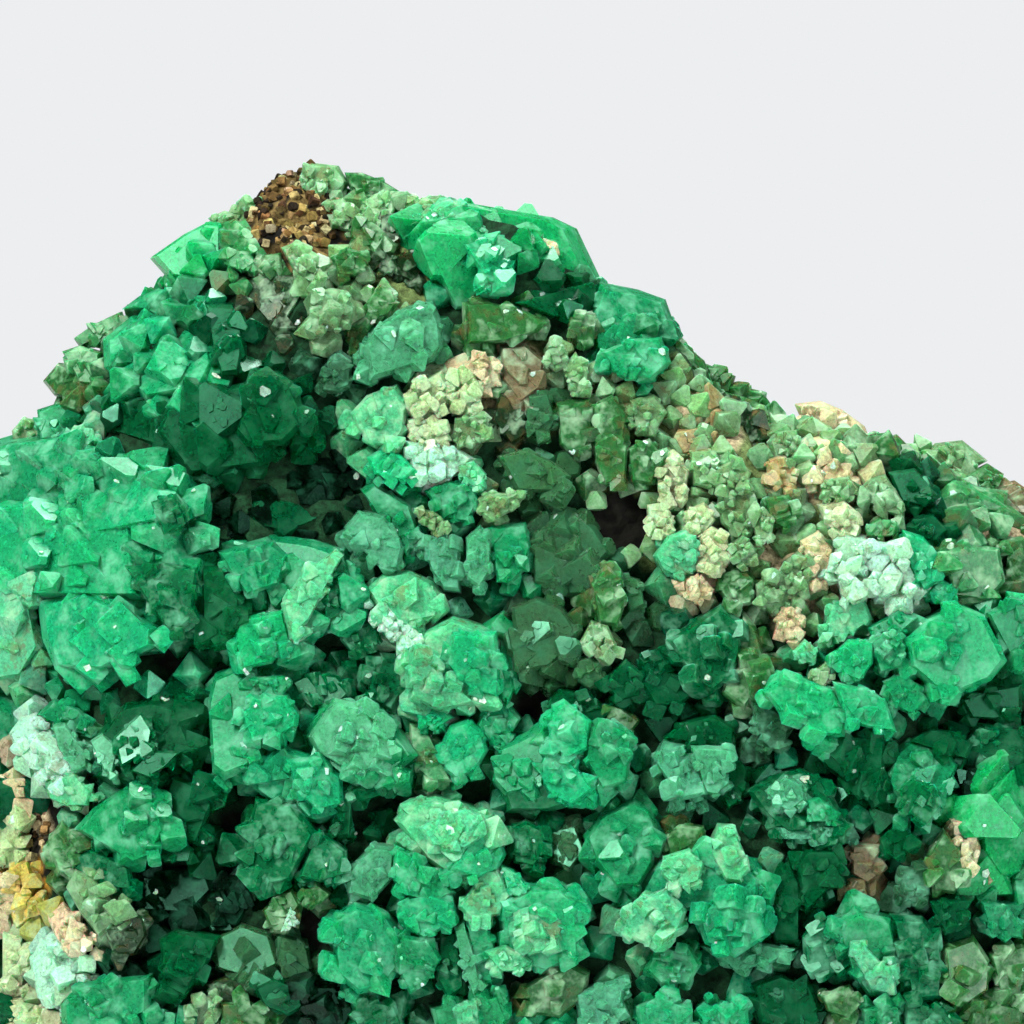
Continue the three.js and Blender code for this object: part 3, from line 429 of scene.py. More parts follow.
    ("sea", 4.8, [(748, 792), (772, 778), (802, 770), (826, 781), (849, 826), (828, 836), (788, 835),
                  (764, 815)]),
    ("frost", 5.8, [(766, 792), (786, 776), (804, 784), (806, 800), (790, 812), (776, 806)]),
    ("emerald", 5.6, [(806, 800), (820, 798), (842, 814), (838, 822), (812, 822)]),
    ("frost", 4.6, [(775, 828), (800, 830), (846, 826), (852, 834), (820, 840), (785, 840)]),
    ("teal", 4.2, [(800, 736), (830, 734), (888, 735), (886, 775), (876, 800), (850, 786), (826, 768)]),
    ("emerald", 4.8, [(886, 782), (896, 752), (912, 740), (952, 748), (963, 766), (942, 806), (930, 826),
                      (904, 816)]),
    ("sea", 5.8, [(896, 790), (915, 778), (940, 790), (942, 808), (928, 826), (906, 814)]),
    ("teal", 4.2, [(910, 742), (930, 730), (955, 732), (975, 745), (968, 760), (950, 748)]),
    ("sea", 3.0, [(975, 740), (1000, 720), (1024, 715), (1024, 745), (1000, 765), (980, 760)]),
    ("teal", 3.6, [(960, 700), (990, 690), (1024, 685), (1024, 712), (995, 720), (970, 718)]),
    # painted shade: a near-black crystal in a dark gap
    ("painted_shade", 2.7, [(965, 765), (990, 768), (1005, 790), (990, 805), (965, 800)]),
    ("jade", 5.4, [(974, 806), (1006, 800), (1012, 772), (1030, 750), (1060, 760), (1060, 880),
                   (1000, 884), (982, 856)]),
    ("cream", 4.6, [(952, 822), (974, 818), (984, 850), (976, 872), (962, 862)]),
    ("moss", 4.0, [(928, 855), (945, 830), (962, 850), (966, 880), (955, 895), (934, 892)]),
    ("teal", 3.8, [(880, 840), (905, 822), (915, 845), (900, 860), (884, 856)]),
    ("teal", 4.0, [(796, 866), (806, 850), (836, 850), (849, 870), (834, 886), (806, 914)]),
    ("teal", 3.6, [(764, 898), (790, 860), (800, 880), (800, 945), (776, 946)]),
    ("umber", 2.7, [(852, 845), (880, 845), (888, 870), (868, 885), (852, 875)]),
    ("sea", 4.6, [(803, 938), (820, 920), (840, 926), (849, 948), (845, 972), (828, 980), (806, 972)]),
    ("emerald", 4.8, [(834, 922), (856, 910), (892, 920), (906, 978), (898, 1002), (870, 1000),
                      (852, 975)]),
    ("mint", 5.6, [(852, 955), (864, 945), (896, 978), (900, 1000), (872, 992)]),
    ("sea", 4.2, [(892, 916), (924, 918), (943, 940), (943, 1002), (914, 1004), (904, 965)]),
    ("teal", 3.8, [(930, 902), (976, 899), (958, 930), (946, 936)]),
    ("moss", 4.2, [(945, 948), (976, 938), (992, 962), (990, 992), (968, 1006), (948, 1000)]),
    ("moss", 3.8, [(990, 955), (1024, 945), (1050, 970), (1040, 1010), (1000, 1000)]),
    ("emerald", 3.8, [(980, 900), (1005, 905), (1024, 925), (1024, 940), (990, 935)]),
    ("slate", 3.6, [(900, 870), (925, 866), (932, 895), (915, 905), (898, 895)]),
    # Foot
    ("bright", 4.8, [(636, 1008), (662, 998), (692, 1006), (694, 1040), (640, 1045)]),
    ("bright", 4.8, [(700, 1012), (722, 1004), (748, 1010), (752, 1040), (705, 1045)]),
    ("teal", 4.0, [(752, 985), (780, 975), (812, 985), (822, 1010), (800, 1035), (760, 1025)]),
    ("moss", 4.2, [(822, 995), (850, 985), (862, 1005), (850, 1020), (828, 1012)]),
    ("emerald", 4.2, [(862, 1008), (900, 1005), (905, 1040), (865, 1045)]),
    ("emerald", 4.6, [(430, 1010), (455, 1003), (500, 995), (510, 1020), (495, 1045), (440, 1045)]),
    ("mint", 5.0, [(455, 1006), (478, 1000), (480, 1030), (458, 1035)]),
    ("sea", 3.8, [(360, 1000), (395, 1005), (405, 1030), (370, 1040), (345, 1015)]),
    # painted shade: a near-black crystal in a dark gap
    ("painted_shade", 3.6, [(300, 985), (335, 985), (355, 1010), (340, 1040), (305, 1035)]),
    ("moss", 4.2, [(970, 1012), (1000, 1004), (1024, 1010), (1030, 1040), (965, 1040)]),
    ("sea", 3.8, [(905, 1006), (945, 1006), (960, 1030), (930, 1045), (905, 1040)]),
]

# Crystals below the face, round the foot: x, z, radius, height over the rock, tone
FOOT_CRYSTALS = [
    (-52.0, 9.4, 5.4, 4.0, "teal"), (-43.0, 6.6, 5.0, 4.2, "emerald"), (-34.0, 8.0, 5.6, 4.6, "emerald"),
    (-24.6, 6.4, 5.2, 4.2, "teal"), (-15.4, 8.0, 5.8, 4.8, "emerald"), (-6.2, 6.6, 5.0, 4.0, "teal"),
    (2.8, 7.6, 5.6, 4.6, "bright"), (11.8, 6.4, 5.4, 4.4, "emerald"), (20.6, 7.6, 5.2, 4.4, "teal"),
    (29.8, 7.0, 5.6, 4.4, "emerald"), (38.4, 8.0, 5.4, 4.2, "teal"), (47.4, 7.0, 5.6, 4.2, "emerald"),
]

# Tones of the crystals round the ends and over the top, in turn
WRAP_TONES = ["emerald", "teal", "bright", "moss", "emerald", "teal"]

# Where the matrix shows bare through the crystals of the front face: x, z and radius
PEAK_BARE = (-22.6, 94.8, 4.2)
PEAK_CLEAR = 7.5  # no large crystal is nearer to its middle
BARE_SPOTS = [PEAK_BARE, (-22.8, 98.0, 3.2), (-51, 32, 4)]
BARE_CLEAR = 1.5  # of a spot's radius, with no filler in it
BARE_REACH = 1.6  # of a spot's radius, where the rock is brown
# reach of the painted shade round each pocket
HOLE_SHADE_REACH = 1.3
DRUSE_ZONES = [(17, 67, 9), (27, 68, 9), (31, 60, 8), (14, 74, 6), (-14, 91, 8), (3, 77, 5)]
# pockets in the rock, with no crystals, painted near-black as painted shade
HOLES_PAINTED_SHADE = [(10.7, 63.0, 3.0), (2.3, 45.4, 1.6), (-33.2, 49.9, 1.8), (-19.2, 23.2, 1.6), (-27.2, 32.4, 1.6)]
# spots of painted shade: their gap crystals are near-black and sit low
PAINTED_SHADE_SPOTS = [
    (-29, 62.5, 3.5), (-22, 64.5, 4), (-17.5, 67, 3.5), (-36, 26, 4.5), (-28, 25.4, 3.5), (-18.5, 14, 3),
    (-26.8, 20.2, 3.5),
]
DARK_TONES = ("olive", "painted_shade", "smoky")
TAN_SPOTS = [(20, 73, 3.5), (29, 69, 4), (29, 57, 5), (-0.5, 78, 4), (50.5, 64, 4), (-49, 36, 6)]
RUST_SPOTS = [(-50.5, 27, 4), (34, 25, 2), (-50, 38, 2)]

# Rock
# painted shade: the rock under the crystals is painted dark green, the shade of the gaps
ROCK_GAP_SHADE = (0.008, 0.050, 0.018)
# painted shade: near-black of the pockets and pits
ROCK_HOLE_SHADE = (0.004, 0.004, 0.002)
ROCK_BROWN = (0.21, 0.15, 0.05)
ROCK_PALE = (0.16, 0.24, 0.08)
ROCK_TAN = (0.55, 0.47, 0.28)
ROCK_RUST = (0.5, 0.26, 0.03)
PATCH_SIZE = 14  # lighter and darker patches of the bare rock
PATCH_SPREAD = 0.7
BACK_START = 4  # depth from which the bare rock of the back shows
GRAINS = 520
GRAIN_REACH = 1.15  # of a bare spot's radius
GRAIN_RADIUS = (0.3, 0.8)
GRAIN_SPREAD = 0.25
GRAIN_SHADES = 0.3
GRAIN_TINTS = [
    (0.36, 0.26, 0.09), (0.22, 0.14, 0.04), (0.09, 0.055, 0.018), (0.02, 0.014, 0.006), (0.5, 0.42, 0.22),
]
KNOB_HEIGHT = 3.6
KNOB_WIDTH = 5.0
KNOB_FOOT = 88
# painted shade: pits on the bare rock are painted near-black
PIT_SHADE_SIZE = 1.7
PIT_SHADE_LEVEL = 0.12
ROCK_STEP = 1.1  # usual edge of the rock's mesh
ROCK_EDGE = 1.4 * ROCK_STEP  # longer ones are split
ROCK_ROUNDS = 6
ROCK_SINK = 0.5  # so that its lumps stay near the solid's surface
BASE_LEVEL = 0.01  # what lies lower is the flat base
BASE_GAP = 0.05
ROCK_ROUGHNESS = [(11, 1.3), (3, 0.8), (1.2, 0.6)]  # size and height of its lumps and grains


# Shapes
PARALLEL = 0.01  # planes with a smaller determinant don't meet in a corner
TOUCH = 1e-6
OUTLINE_LEAST = 0.6  # nearest side of an outline of radius 1
OUTLINE_TURN = 0.08
PLATE_SLOPE = 0.86  # a plate's top, as a share of its bottom
PLATE_FLAT = 0.9  # least upward part of the normal of its top
# Painted highlight on the sloping edges of the growth plates: a paler green mixed in
RIM_HIGHLIGHT_SHARE = 0.25
RIM_HIGHLIGHT_COLOUR = (0.35, 1.0, 0.6)
RIM_HIGHLIGHT_GAIN = 1.7


def hull_of(points):
    """Corners, triangles and triangle normals of the convex solid round some points."""
    bm = bmesh.new()
    for point in points:
        bm.verts.new(point)
    bmesh.ops.convex_hull(bm, input=bm.verts)
    bmesh.ops.triangulate(bm, faces=bm.faces)
    loose = [v for v in bm.verts if not v.link_faces]
    bmesh.ops.delete(bm, geom=loose, context="VERTS")
    bm.verts.index_update()
    bm.normal_update()
    corners = np.array([v.co[:] for v in bm.verts])
    triangles = np.array([[v.index for v in face.verts] for face in bm.faces])
    normals = np.array([face.normal[:] for face in bm.faces])
    bm.free()
    return corners, triangles, normals


def corners_within(normals, reaches):
    """Corners of the region that lies behind every one of some lines or planes."""
    size = normals.shape[1]
    corners = []
    for chosen in itertools.combinations(range(len(normals)), size):
        sides = normals[list(chosen)]
        if abs(np.linalg.det(sides)) < PARALLEL:
            continue
        corner = np.linalg.solve(sides, reaches[list(chosen)])
        if np.all(normals @ corner < reaches + TOUCH):
            corners.append(np.round(corner, 6))
    return np.unique(corners, axis=0)


def round_outline(points):
    """Corners of the convex outline round some points of a plane, in turn."""
    turn = geometry.convex_hull_2d([Vector(p) for p in points])
    return np.array([points[i] for i in turn])


SIGNS = np.array(list(itertools.product((1, -1), repeat=3)))
AXES = np.concatenate([np.eye(3), -np.eye(3)])


def crystal_shape(corner, side):
    """A crystal of radius 1: an octahedron and a cube together, of which the nearer faces show."""
    normals = np.concatenate([SIGNS / math.sqrt(3), AXES])
    reaches = np.concatenate([rng.uniform(*corner, len(SIGNS)), rng.uniform(*side, len(AXES))])
    corners, triangles, _ = hull_of(corners_within(normals, reaches))
    return corners, triangles, np.zeros(len(triangles), bool)


def crystal_outline(sides):
    """A lopsided polygon of radius 1 at most."""
    angles = np.arange(sides) * 2 * math.pi / sides + rng.normal(scale=OUTLINE_TURN, size=sides)
    normals = np.stack([np.cos(angles), np.sin(angles)], axis=1)
    outline = corners_within(normals, rng.uniform(OUTLINE_LEAST, 1.0, sides))
    outline = round_outline(outline)
    return outline / np.linalg.norm(outline, axis=1).max()


def plate_shape(sides):
    """A flat growth plate of radius 1, with sloping edges, which get the painted edge highlight."""
    outline = crystal_outline(sides)
    bottom = [(x, y, -1) for x, y in outline]
    top = [(x * PLATE_SLOPE, y * PLATE_SLOPE, 1) for x, y in outline]
    corners, triangles, normals = hull_of(np.array(bottom + top))
    return corners, triangles, np.abs(normals[:, 2]) < PLATE_FLAT


SMALL_SHAPES = [crystal_shape((0.52, 0.63), (0.76, 0.96)) for i in range(12)]
CUBE_SHAPES = [crystal_shape((0.78, 0.96), (0.50, 0.66)) for i in range(12)]
PLATE_SHAPES = [plate_shape(sides) for sides in (4, 5, 6, 6) for i in range(5)]
FACE_UP = np.array(Vector((1, 1, 1)).rotation_difference(Vector((0, 0, 1))).to_matrix())


def any_of(shapes):
    return shapes[rng.integers(len(shapes))]


class Block:
    """One flat-faced solid: a shape turned and scaled by a matrix, set in place, with its colours."""

    def __init__(self, shape, matrix, place, tint, rim_highlight=None):
        corners, self.triangles, on_highlit_rim = shape
        offsets = corners @ matrix.T
        self.corners = offsets + place
        self.place = place
        self.reach = np.linalg.norm(offsets, axis=1).max()
        # faces on the edge may take a painted highlight colour
        rim_highlight = tint if rim_highlight is None else rim_highlight
        self.tints = np.where(on_highlit_rim[:, None], rim_highlight, tint)


def shade(tint, spread):
    """A colour a little lighter or darker than another, and a little yellower or bluer."""
    lightness = rng.uniform(1 - spread, 1 + spread)
    hue = 1 + 0.5 * spread * rng.uniform(-1, 1, 3)
    return np.clip(np.array(tint) * lightness * hue, 0, 1)


def rim_highlight_of(tint):
    """Painted highlight on the edges of a crystal of some colour: they are painted paler, as if lit."""
    return (1 - RIM_HIGHLIGHT_SHARE) * tint + RIM_HIGHLIGHT_SHARE * np.array(RIM_HIGHLIGHT_COLOUR) * min(1, RIM_HIGHLIGHT_GAIN * tint[1])


def small_turn(spread):
    return np.array(Euler(rng.normal(scale=spread, size=3)).to_matrix())


# Main crystals
def mesh_in_mm(node):
    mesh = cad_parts[node].data
    corners = [v.co / MM for v in mesh.vertices]
    faces = [tuple(p.vertices) for p in mesh.polygons]
    return corners, faces


ROCK_CORNERS, ROCK_FACES = mesh_in_mm("matrix")
ROCK_TREE = BVHTree.FromPolygons(ROCK_CORNERS, ROCK_FACES)
FAR = 200
FORWARD = np.array((0.0, -1.0, 0.0))
MOST_SLOPE = 0.6  # of a crystal's face
TILT = 0.14
EDGE_DEPTH = 4  # crystals this near the middle plane are at the outline
EDGE_HOLD = 0.55  # of a crystal's radius, the farthest that its foot lies off the rock
FOOT_SIDES = 7
LEVEL = 0.1  # a direction with a smaller sideways part looks straight up or down


def front_of(x, z):
    """Depth of the matrix's front, or of its middle beyond its outline."""
    hit = ROCK_TREE.ray_cast(Vector((x, -FAR, z)), Vector((0, 1, 0)))[0]
    if hit is None or hit.y > HEART.y - 1:
        return HEART.y - 1
    return hit.y


class Crystal:
    """A main crystal: an outline over a point of the rock, across and up along its first two axes.

    Its front looks along the third axis, and it stands on the rock against the direction of its root.
    """

    def __init__(self, outline, place, axes, root, rise, tone, detail=1.0):
        self.outline = outline
        self.root = root
        self.place = np.array(place)
        self.axes = axes
        self.rise = rise
        self.tone = tone
        self.detail = detail
        ends = np.roll(outline, -1, axis=0)
        area = abs(np.sum(outline[:, 0] * ends[:, 1] - outline[:, 1] * ends[:, 0])) / 2
        self.radius = math.sqrt(area / math.pi)
        self.spin = rng.uniform(0, math.pi)


def onto_rock(place, radius):
    """A place beyond the rock's outline, moved until a crystal of some radius sits on the rock."""
    nearest = np.array(ROCK_TREE.find_nearest(Vector(place))[0])
    gap = place - nearest
    distance = np.linalg.norm(gap)
    return nearest + gap * min(1, EDGE_HOLD * radius / max(distance, 0.01))


def on_front(corners, rise, tone):
    """A crystal on the front face, its own face nearly in line with the rock under it."""
    middle = corners.mean(axis=0)
    depths = np.array([front_of(x, z) for x, z in [middle, *corners]])
    spread = np.array([middle, *corners]) - middle
    fit = np.linalg.lstsq(np.column_stack([spread, np.ones(len(spread))]), depths, rcond=None)[0]
    slope_x, slope_z = np.clip(fit[:2], -MOST_SLOPE, MOST_SLOPE) + rng.normal(scale=TILT, size=2)
    depth = fit[2]
    nearness = (VIEW_DISTANCE + depth - rise - FACE_DEPTH) / VIEW_DISTANCE
    x, z = middle[0] * nearness, VIEW_HEIGHT + (middle[1] - VIEW_HEIGHT) * nearness
    outward = np.array((slope_x, -1, slope_z))
    axes = np.column_stack([(1, slope_x, 0), (0, slope_z, 1), outward / np.linalg.norm(outward)])
    shift = rise * axes[:, 2] * np.array((1, 0, 1))
    place = np.array((x, depth, z)) - shift
    if depth > HEART.y - EDGE_DEPTH:
        place = onto_rock(place, np.abs(corners - middle).max())
    return Crystal(round_outline((corners - middle) * nearness), place, axes, FORWARD, rise, tone)


def front_crystals():
    for tone, rise, outline in CHUNKS:
        corners = np.array([(FACE_LEFT + x / TENTHS, FACE_TOP - y / TENTHS) for x, y in outline])
        yield on_front(corners, rise, tone)
    for x, z, radius, rise, tone in FOOT_CRYSTALS:
        yield on_front(radius * crystal_outline(FOOT_SIDES) + np.array((x, z)), rise, tone)


def tangent_axes(outward):
    """Axes across, up and outward on a place that looks some way."""
    across = Vector((0, 0, 1)).cross(outward)
    if across.length < LEVEL:
        across = Vector((1, 0, 0))
    across.normalize()
    up = outward.cross(across)
    return np.column_stack([across, up, outward])


def wrap_crystals(front):
    """Crystals spread evenly round the ends, the top and the foot, thinning out to bare rock at the back."""
    for i in range(WRAP_COUNT):
        share = i * GOLDEN_SHARE % 1
        height = 1 - 2 * (i + 0.5) / WRAP_COUNT
        ring = math.sqrt(1 - height * height)
        angle = 2 * math.pi * share
        on_ball = (ring * math.cos(angle), ring * math.sin(angle), height)
        direction = Vector([a * b for a, b in zip(on_ball, WRAP_SPREAD)]).normalized()
        mix = WRAP_MIX * share % 1
        radius = WRAP_RADIUS[0] + mix * (WRAP_RADIUS[1] - WRAP_RADIUS[0])
        radius *= 1 - CROWN_SHRINK * max(0, height)
        place = ROCK_TREE.ray_cast(HEART, direction)[0]
        on_face = abs(place.x) < FACE_WIDTH and place.y < FACE_BACK
        on_back = direction.y > WRAP_BACK + WRAP_FRAY * mix
        on_base = place.z < WRAP_FOOT * radius
        on_peak = math.hypot(place.x - PEAK_BARE[0], place.z - PEAK_BARE[1]) < PEAK_CLEAR
        if on_face or on_back or on_base or on_peak:
            continue
        outward = Vector((direction.x, direction.y, max(direction.z, 0)))
        axes = small_turn(TILT) @ tangent_axes(outward.normalized())
        tone = WRAP_TONES[i % len(WRAP_TONES)]
        if abs(place.x) < FACE_WIDTH:
            tone = min(front, key=lambda c: np.linalg.norm(c.place - np.array(place))).tone
        outline = radius * crystal_outline(WRAP_SIDES + i % 3)
        yield Crystal(outline, place, axes, axes[:, 2], WRAP_LIFT * radius, tone, WRAP_DETAIL)


# Growth of a main crystal, out of smaller ones that lie nearly in line
# For each style: how many of them, their radius as a share of the main one's, and their turn out of line
STYLES = {
    "stepped": (9, (0.34, 0.62), 0.10),
    "smooth": (5, (0.48, 0.85), 0.07),
    "druse": (8, (0.26, 0.70), 2.0),
}
CORE_DEPTH = {"stepped": 0.25, "smooth": 0.25, "druse": 0.55}  # of the core behind the front
UNIT_MOST = 5.6  # larger crystals have more members, not larger ones
CUBES = 0.35  # share of crystals that show more of the cube
CORE_TOP = 0.86  # the core's front, as a share of its outline
CORE_SLOPE = 0.35
CORE_FOOT = 0.4
LEAN = 0.30  # how far the front faces of a crystal lean
DOME = 0.32  # how far the members at its edge lie behind those in its middle
UNEVEN = 0.08
MEMBER_SINK = 0.55  # of a member's radius, behind the front
MEMBER_INSET = 0.3  # of its radius, in from the outline
LEAST_INSET = 0.4
STRETCH = (0.65, 1.15)  # of a member along its axes
SKIRT = 1.6  # members round its sides, for each two in front
SKIRT_INSET = 0.88
SKIRT_DEPTH = (0.3, 1.2)
BODY_SHADES = 0.08
MEMBER_SHADES = 0.10
FLAKES = 0.45  # growth plates on each square millimetre of a member
FROST_AND_GLINT = 0.1  # how many of them are white: frosted patches, and painted glints
FROST_AND_GLINT_TINT = (0.50, 0.80, 0.60)
FLAKE_RADIUS = (0.2, 0.8)
FLAKE_HEIGHT = (0.06, 0.2)
FLAKE_MOST = 0.4  # of its crystal's reach
FLAKE_SHADES = 0.2
FLAKE_RIM_HIGHLIGHT_SHADES = 0.25
FLAKE_MIDDLE = (1.5, 1.5, 1.5)  # how strongly plates keep to the middle of a face
FLARE = 1.1  # a crystal is this much wider at the rock
ROOT = 3.0  # how far a crystal reaches into the rock
SPOT_TRIES = 8


def layered(crystal, layers, tint):
    """A block of outlines laid over each other, at heights over the crystal's front."""
    points = np.array([(u, v, height) for outline, height in layers for u, v in outline])
    middle = points.mean(axis=0)
    corners, triangles, _ = hull_of(points - middle)
    matrix = np.column_stack([crystal.axes[:, :2], crystal.root])
    place = crystal.place + crystal.rise * crystal.axes[:, 2] + matrix @ middle
    return Block((corners, triangles, np.zeros(len(triangles), bool)), matrix, place, tint)


def covers(outline, spot):
    """Whether a convex outline has a spot inside."""
    sides = np.roll(outline, -1, axis=0) - outline
    ways = spot - outline
    turns = sides[:, 0] * ways[:, 1] - sides[:, 1] * ways[:, 0]
    return np.all(turns > 0) or np.all(turns < 0)


def any_edge(outline):
    """Both ends of an edge of an outline, long ones more likely."""
    ends = np.roll(outline, -1, axis=0)
    lengths = np.linalg.norm(ends - outline, axis=1)
    chosen = rng.choice(len(outline), p=lengths / lengths.sum())
    return outline[chosen], ends[chosen]


def spread_spots(outline, number):
    """Spots spread over a convex outline, each far from those before it."""
    spots = []
    low, high = outline.min(axis=0), outline.max(axis=0)
    while len(spots) < number:
        tries = [t for t in rng.uniform(low, high, (3 * SPOT_TRIES, 2)) if covers(outline, t)]
        tries = tries[:SPOT_TRIES]
        if not tries:
            tries = [outline.mean(axis=0)]
        spots.append(max(tries, key=lambda t: min([np.hypot(*(t - s)) for s in spots], default=0)))
    return spots


def growth(crystal):
    """A main crystal: a core, members nearly in line in front and round its sides, and their plates."""
    tint, _, style = TONES[crystal.tone]
    number, shares, turn = STYLES[style]
    body = shade(tint, BODY_SHADES)
    size = crystal.radius
    unit = min(size, UNIT_MOST)
    outline = crystal.outline
    shapes = CUBE_SHAPES if rng.random() < CUBES else SMALL_SHAPES
    facing = small_turn(LEAN) @ np.array(Euler((0, 0, crystal.spin)).to_matrix()) @ FACE_UP
    low = min(-unit, -crystal.rise) - CORE_FOOT * size
    depth = CORE_DEPTH[style] * unit
    layers = [(CORE_TOP * outline, -depth), (outline, -depth - CORE_SLOPE * unit)]
    layers += [(FLARE * outline, low - 0.5 * unit), (outline, low - ROOT)]
    blocks = [layered(crystal, layers, shade(body, MEMBER_SHADES))]
    members = []
    count = math.ceil(number * crystal.detail * (size / unit) ** 2)
    for spot in spread_spots(outline, count):
        radius = unit * rng.uniform(*shares)
        away = np.hypot(*spot) / size
        top = -DOME * unit * away ** 2 + UNEVEN * unit * rng.normal()
        inward = spot * max(LEAST_INSET, 1 - MEMBER_INSET * radius / max(np.hypot(*spot), 0.1))
        members.append((inward, top - MEMBER_SINK * radius, radius))
    for i in range(math.ceil(SKIRT * count / 2)):
        a, b = any_edge(outline)
        radius = unit * rng.uniform(*shares)
        spot = a + (b - a) * rng.random()
        members.append((spot * SKIRT_INSET, -unit * rng.uniform(*SKIRT_DEPTH), radius))
    for spot, height, radius in members:
        place = crystal.place + crystal.axes @ np.array((*spot, crystal.rise + height))
        matrix = crystal.axes @ small_turn(turn) @ facing * radius * rng.uniform(*STRETCH, 3)
        block = Block(any_of(shapes), matrix, place, shade(body, MEMBER_SHADES))
        blocks.append(block)
        for i in range(rng.poisson(FLAKES * crystal.detail * radius ** 2)):
            blocks.append(flake_on(block, crystal.axes[:, 2], body))
    return blocks


def flake_on(block, outward, body):
    """A thin growth plate on a face of a block that looks some way."""
    a, b, c = (block.corners[block.triangles[:, i]] for i in range(3))
    crosses = np.cross(b - a, c - a)
    shown = np.clip(crosses @ outward, 0, None) ** 2 + 1e-9
    chosen = rng.choice(len(shown), p=shown / shown.sum())
    weights = rng.dirichlet(FLAKE_MIDDLE)
    place = weights @ np.array([a[chosen], b[chosen], c[chosen]])
    axes = tangent_axes(Vector(crosses[chosen]).normalized())
    radius = min(rng.uniform(*FLAKE_RADIUS), FLAKE_MOST * block.reach)
    turn = np.array(Euler((0, 0, rng.uniform(0, 6))).to_matrix())
    matrix = axes @ turn * np.array((radius, radius * rng.uniform(0.5, 1), rng.uniform(*FLAKE_HEIGHT)))
    # some plates are painted white: frosted patches, and painted glints
    tint = FROST_AND_GLINT_TINT if rng.random() < FROST_AND_GLINT else body
    # its sloping edges get a painted highlight
    rim_highlight = rim_highlight_of(body)
    return Block(any_of(PLATE_SHAPES), matrix, place, shade(tint, FLAKE_SHADES), shade(rim_highlight, FLAKE_RIM_HIGHLIGHT_SHADES))


# Growth between the main crystals
FILL_SHADES = 0.25
ANY_TURN = 2  # a spread that turns a crystal any way


class Filler:
    """A small crystal with nothing grown on it."""

    def __init__(self, place, radius, tone, light):
        self.place = place
        self.radius = radius
        self.tone = tone
        # how far its colour is darkened: painted shade
        self.light = light


def filler_growth(filler):
    # its colour is darkened as painted shade of the gap it sits in
    body = shade(TONES[filler.tone][0], FILL_SHADES) * filler.light
    return [Block(any_of(SMALL_SHAPES), small_turn(ANY_TURN) * filler.radius, filler.place, body)]


def rock_points(count):
    """Points spread evenly over the matrix, with its outward direction at each."""
    corners = np.array([c[:] for c in ROCK_CORNERS])
    triangles = np.array(ROCK_FACES)
    a, b, c = corners[triangles[:, 0]], corners[triangles[:, 1]], corners[triangles[:, 2]]
    crosses = np.cross(b - a, c - a)
    areas = np.linalg.norm(crosses, axis=1)
    chosen = rng.choice(len(areas), size=count, p=areas / areas.sum())
    u, v = rng.random((2, count, 1))
    flip = u + v > 1
    u, v = np.where(flip, 1 - u, u), np.where(flip, 1 - v, v)
    points = a[chosen] + u * (b - a)[chosen] + v * (c - a)[chosen]
    return points, crosses[chosen] / areas[chosen, None]


def in_spots(points, spots, spread=1.0):
    """Which of some points lie in a list of round spots on the front face."""
    inside = np.zeros(len(points), bool)
    for x, z, radius in spots:
        near = np.hypot(points[:, 0] - x, points[:, 2] - z) < spread * radius
        inside |= near & (points[:, 1] < FACE_END)
    return inside


def fillers(crystals):
    """Crystals that close the gaps between the main ones, far into each other, toned like the nearest and
    darkened as painted shade.
    """
    points, normals = rock_points(FILL_TRIES)
    edge = DRUSE_BACK + np.array([DRUSE_FRAY * noise.noise(Vector(p) / DRUSE_FRAY_SIZE) for p in points])
    keep = (points[:, 1] < edge) & (points[:, 2] > FILL_FOOT)
    keep &= ~in_spots(points, BARE_SPOTS, BARE_CLEAR) & ~in_spots(points, HOLES_PAINTED_SHADE)
    points, normals = points[keep], normals[keep]
    in_druse = in_spots(points, DRUSE_ZONES)
    in_painted_shade = in_spots(points, PAINTED_SHADE_SPOTS)
    places = np.array([c.place for c in crystals])
    radii = np.array([c.radius for c in crystals])
    taken = np.full((1, 3), FAR)
    found = []
    for point, normal, pale, in_shade_spot in zip(points, normals, in_druse, in_painted_shade):
        space = DRUSE_SPACE if pale else FILL_SPACE
        gaps = np.linalg.norm(places - point, axis=1) - FILL_CLEAR * radii
        if gaps.min() < 0 or np.linalg.norm(taken - point, axis=1).min() < space:
            continue
        beside = crystals[int(np.argmin(gaps))]
        radius = rng.uniform(*(DRUSE_RADIUS if pale else FILL_RADIUS))
        # in the spots of painted shade the fillers sit low and are painted near-black
        lift = (0 if in_shade_spot else FILL_LIFT) * beside.rise - FILL_SINK * radius
        tone = "painted_shade" if in_shade_spot else beside.tone
        if pale and beside.tone not in DARK_TONES:
            tone = "pale"
        # fillers are darkened as painted shade, those in the pale druse only a little
        found.append(Filler(point + lift * normal, radius, tone, DRUSE_PAINTED_SHADE if pale else FILL_PAINTED_SHADE))
        taken = np.concatenate([taken, [point]])
    return found


# Joining
def apart_sets(blocks):
    """Blocks sorted into sets in which none touches another."""
    tree = KDTree(len(blocks))
    for i, block in enumerate(blocks):
        tree.insert(block.place, i)
    tree.balance()
    widest = max(block.reach for block in blocks)
    chosen = {}
    for i, block in enumerate(blocks):
        taken = set()
        for place, other, distance in tree.find_range(block.place, block.reach + widest):
            if other in chosen and distance < block.reach + blocks[other].reach:
                taken.add(chosen[other])
        chosen[i] = next(number for number in itertools.count() if number not in taken)
    sets = [[] for number in range(max(chosen.values()) + 1)]
    for i, number in chosen.items():
        sets[number].append(blocks[i])
    return sets


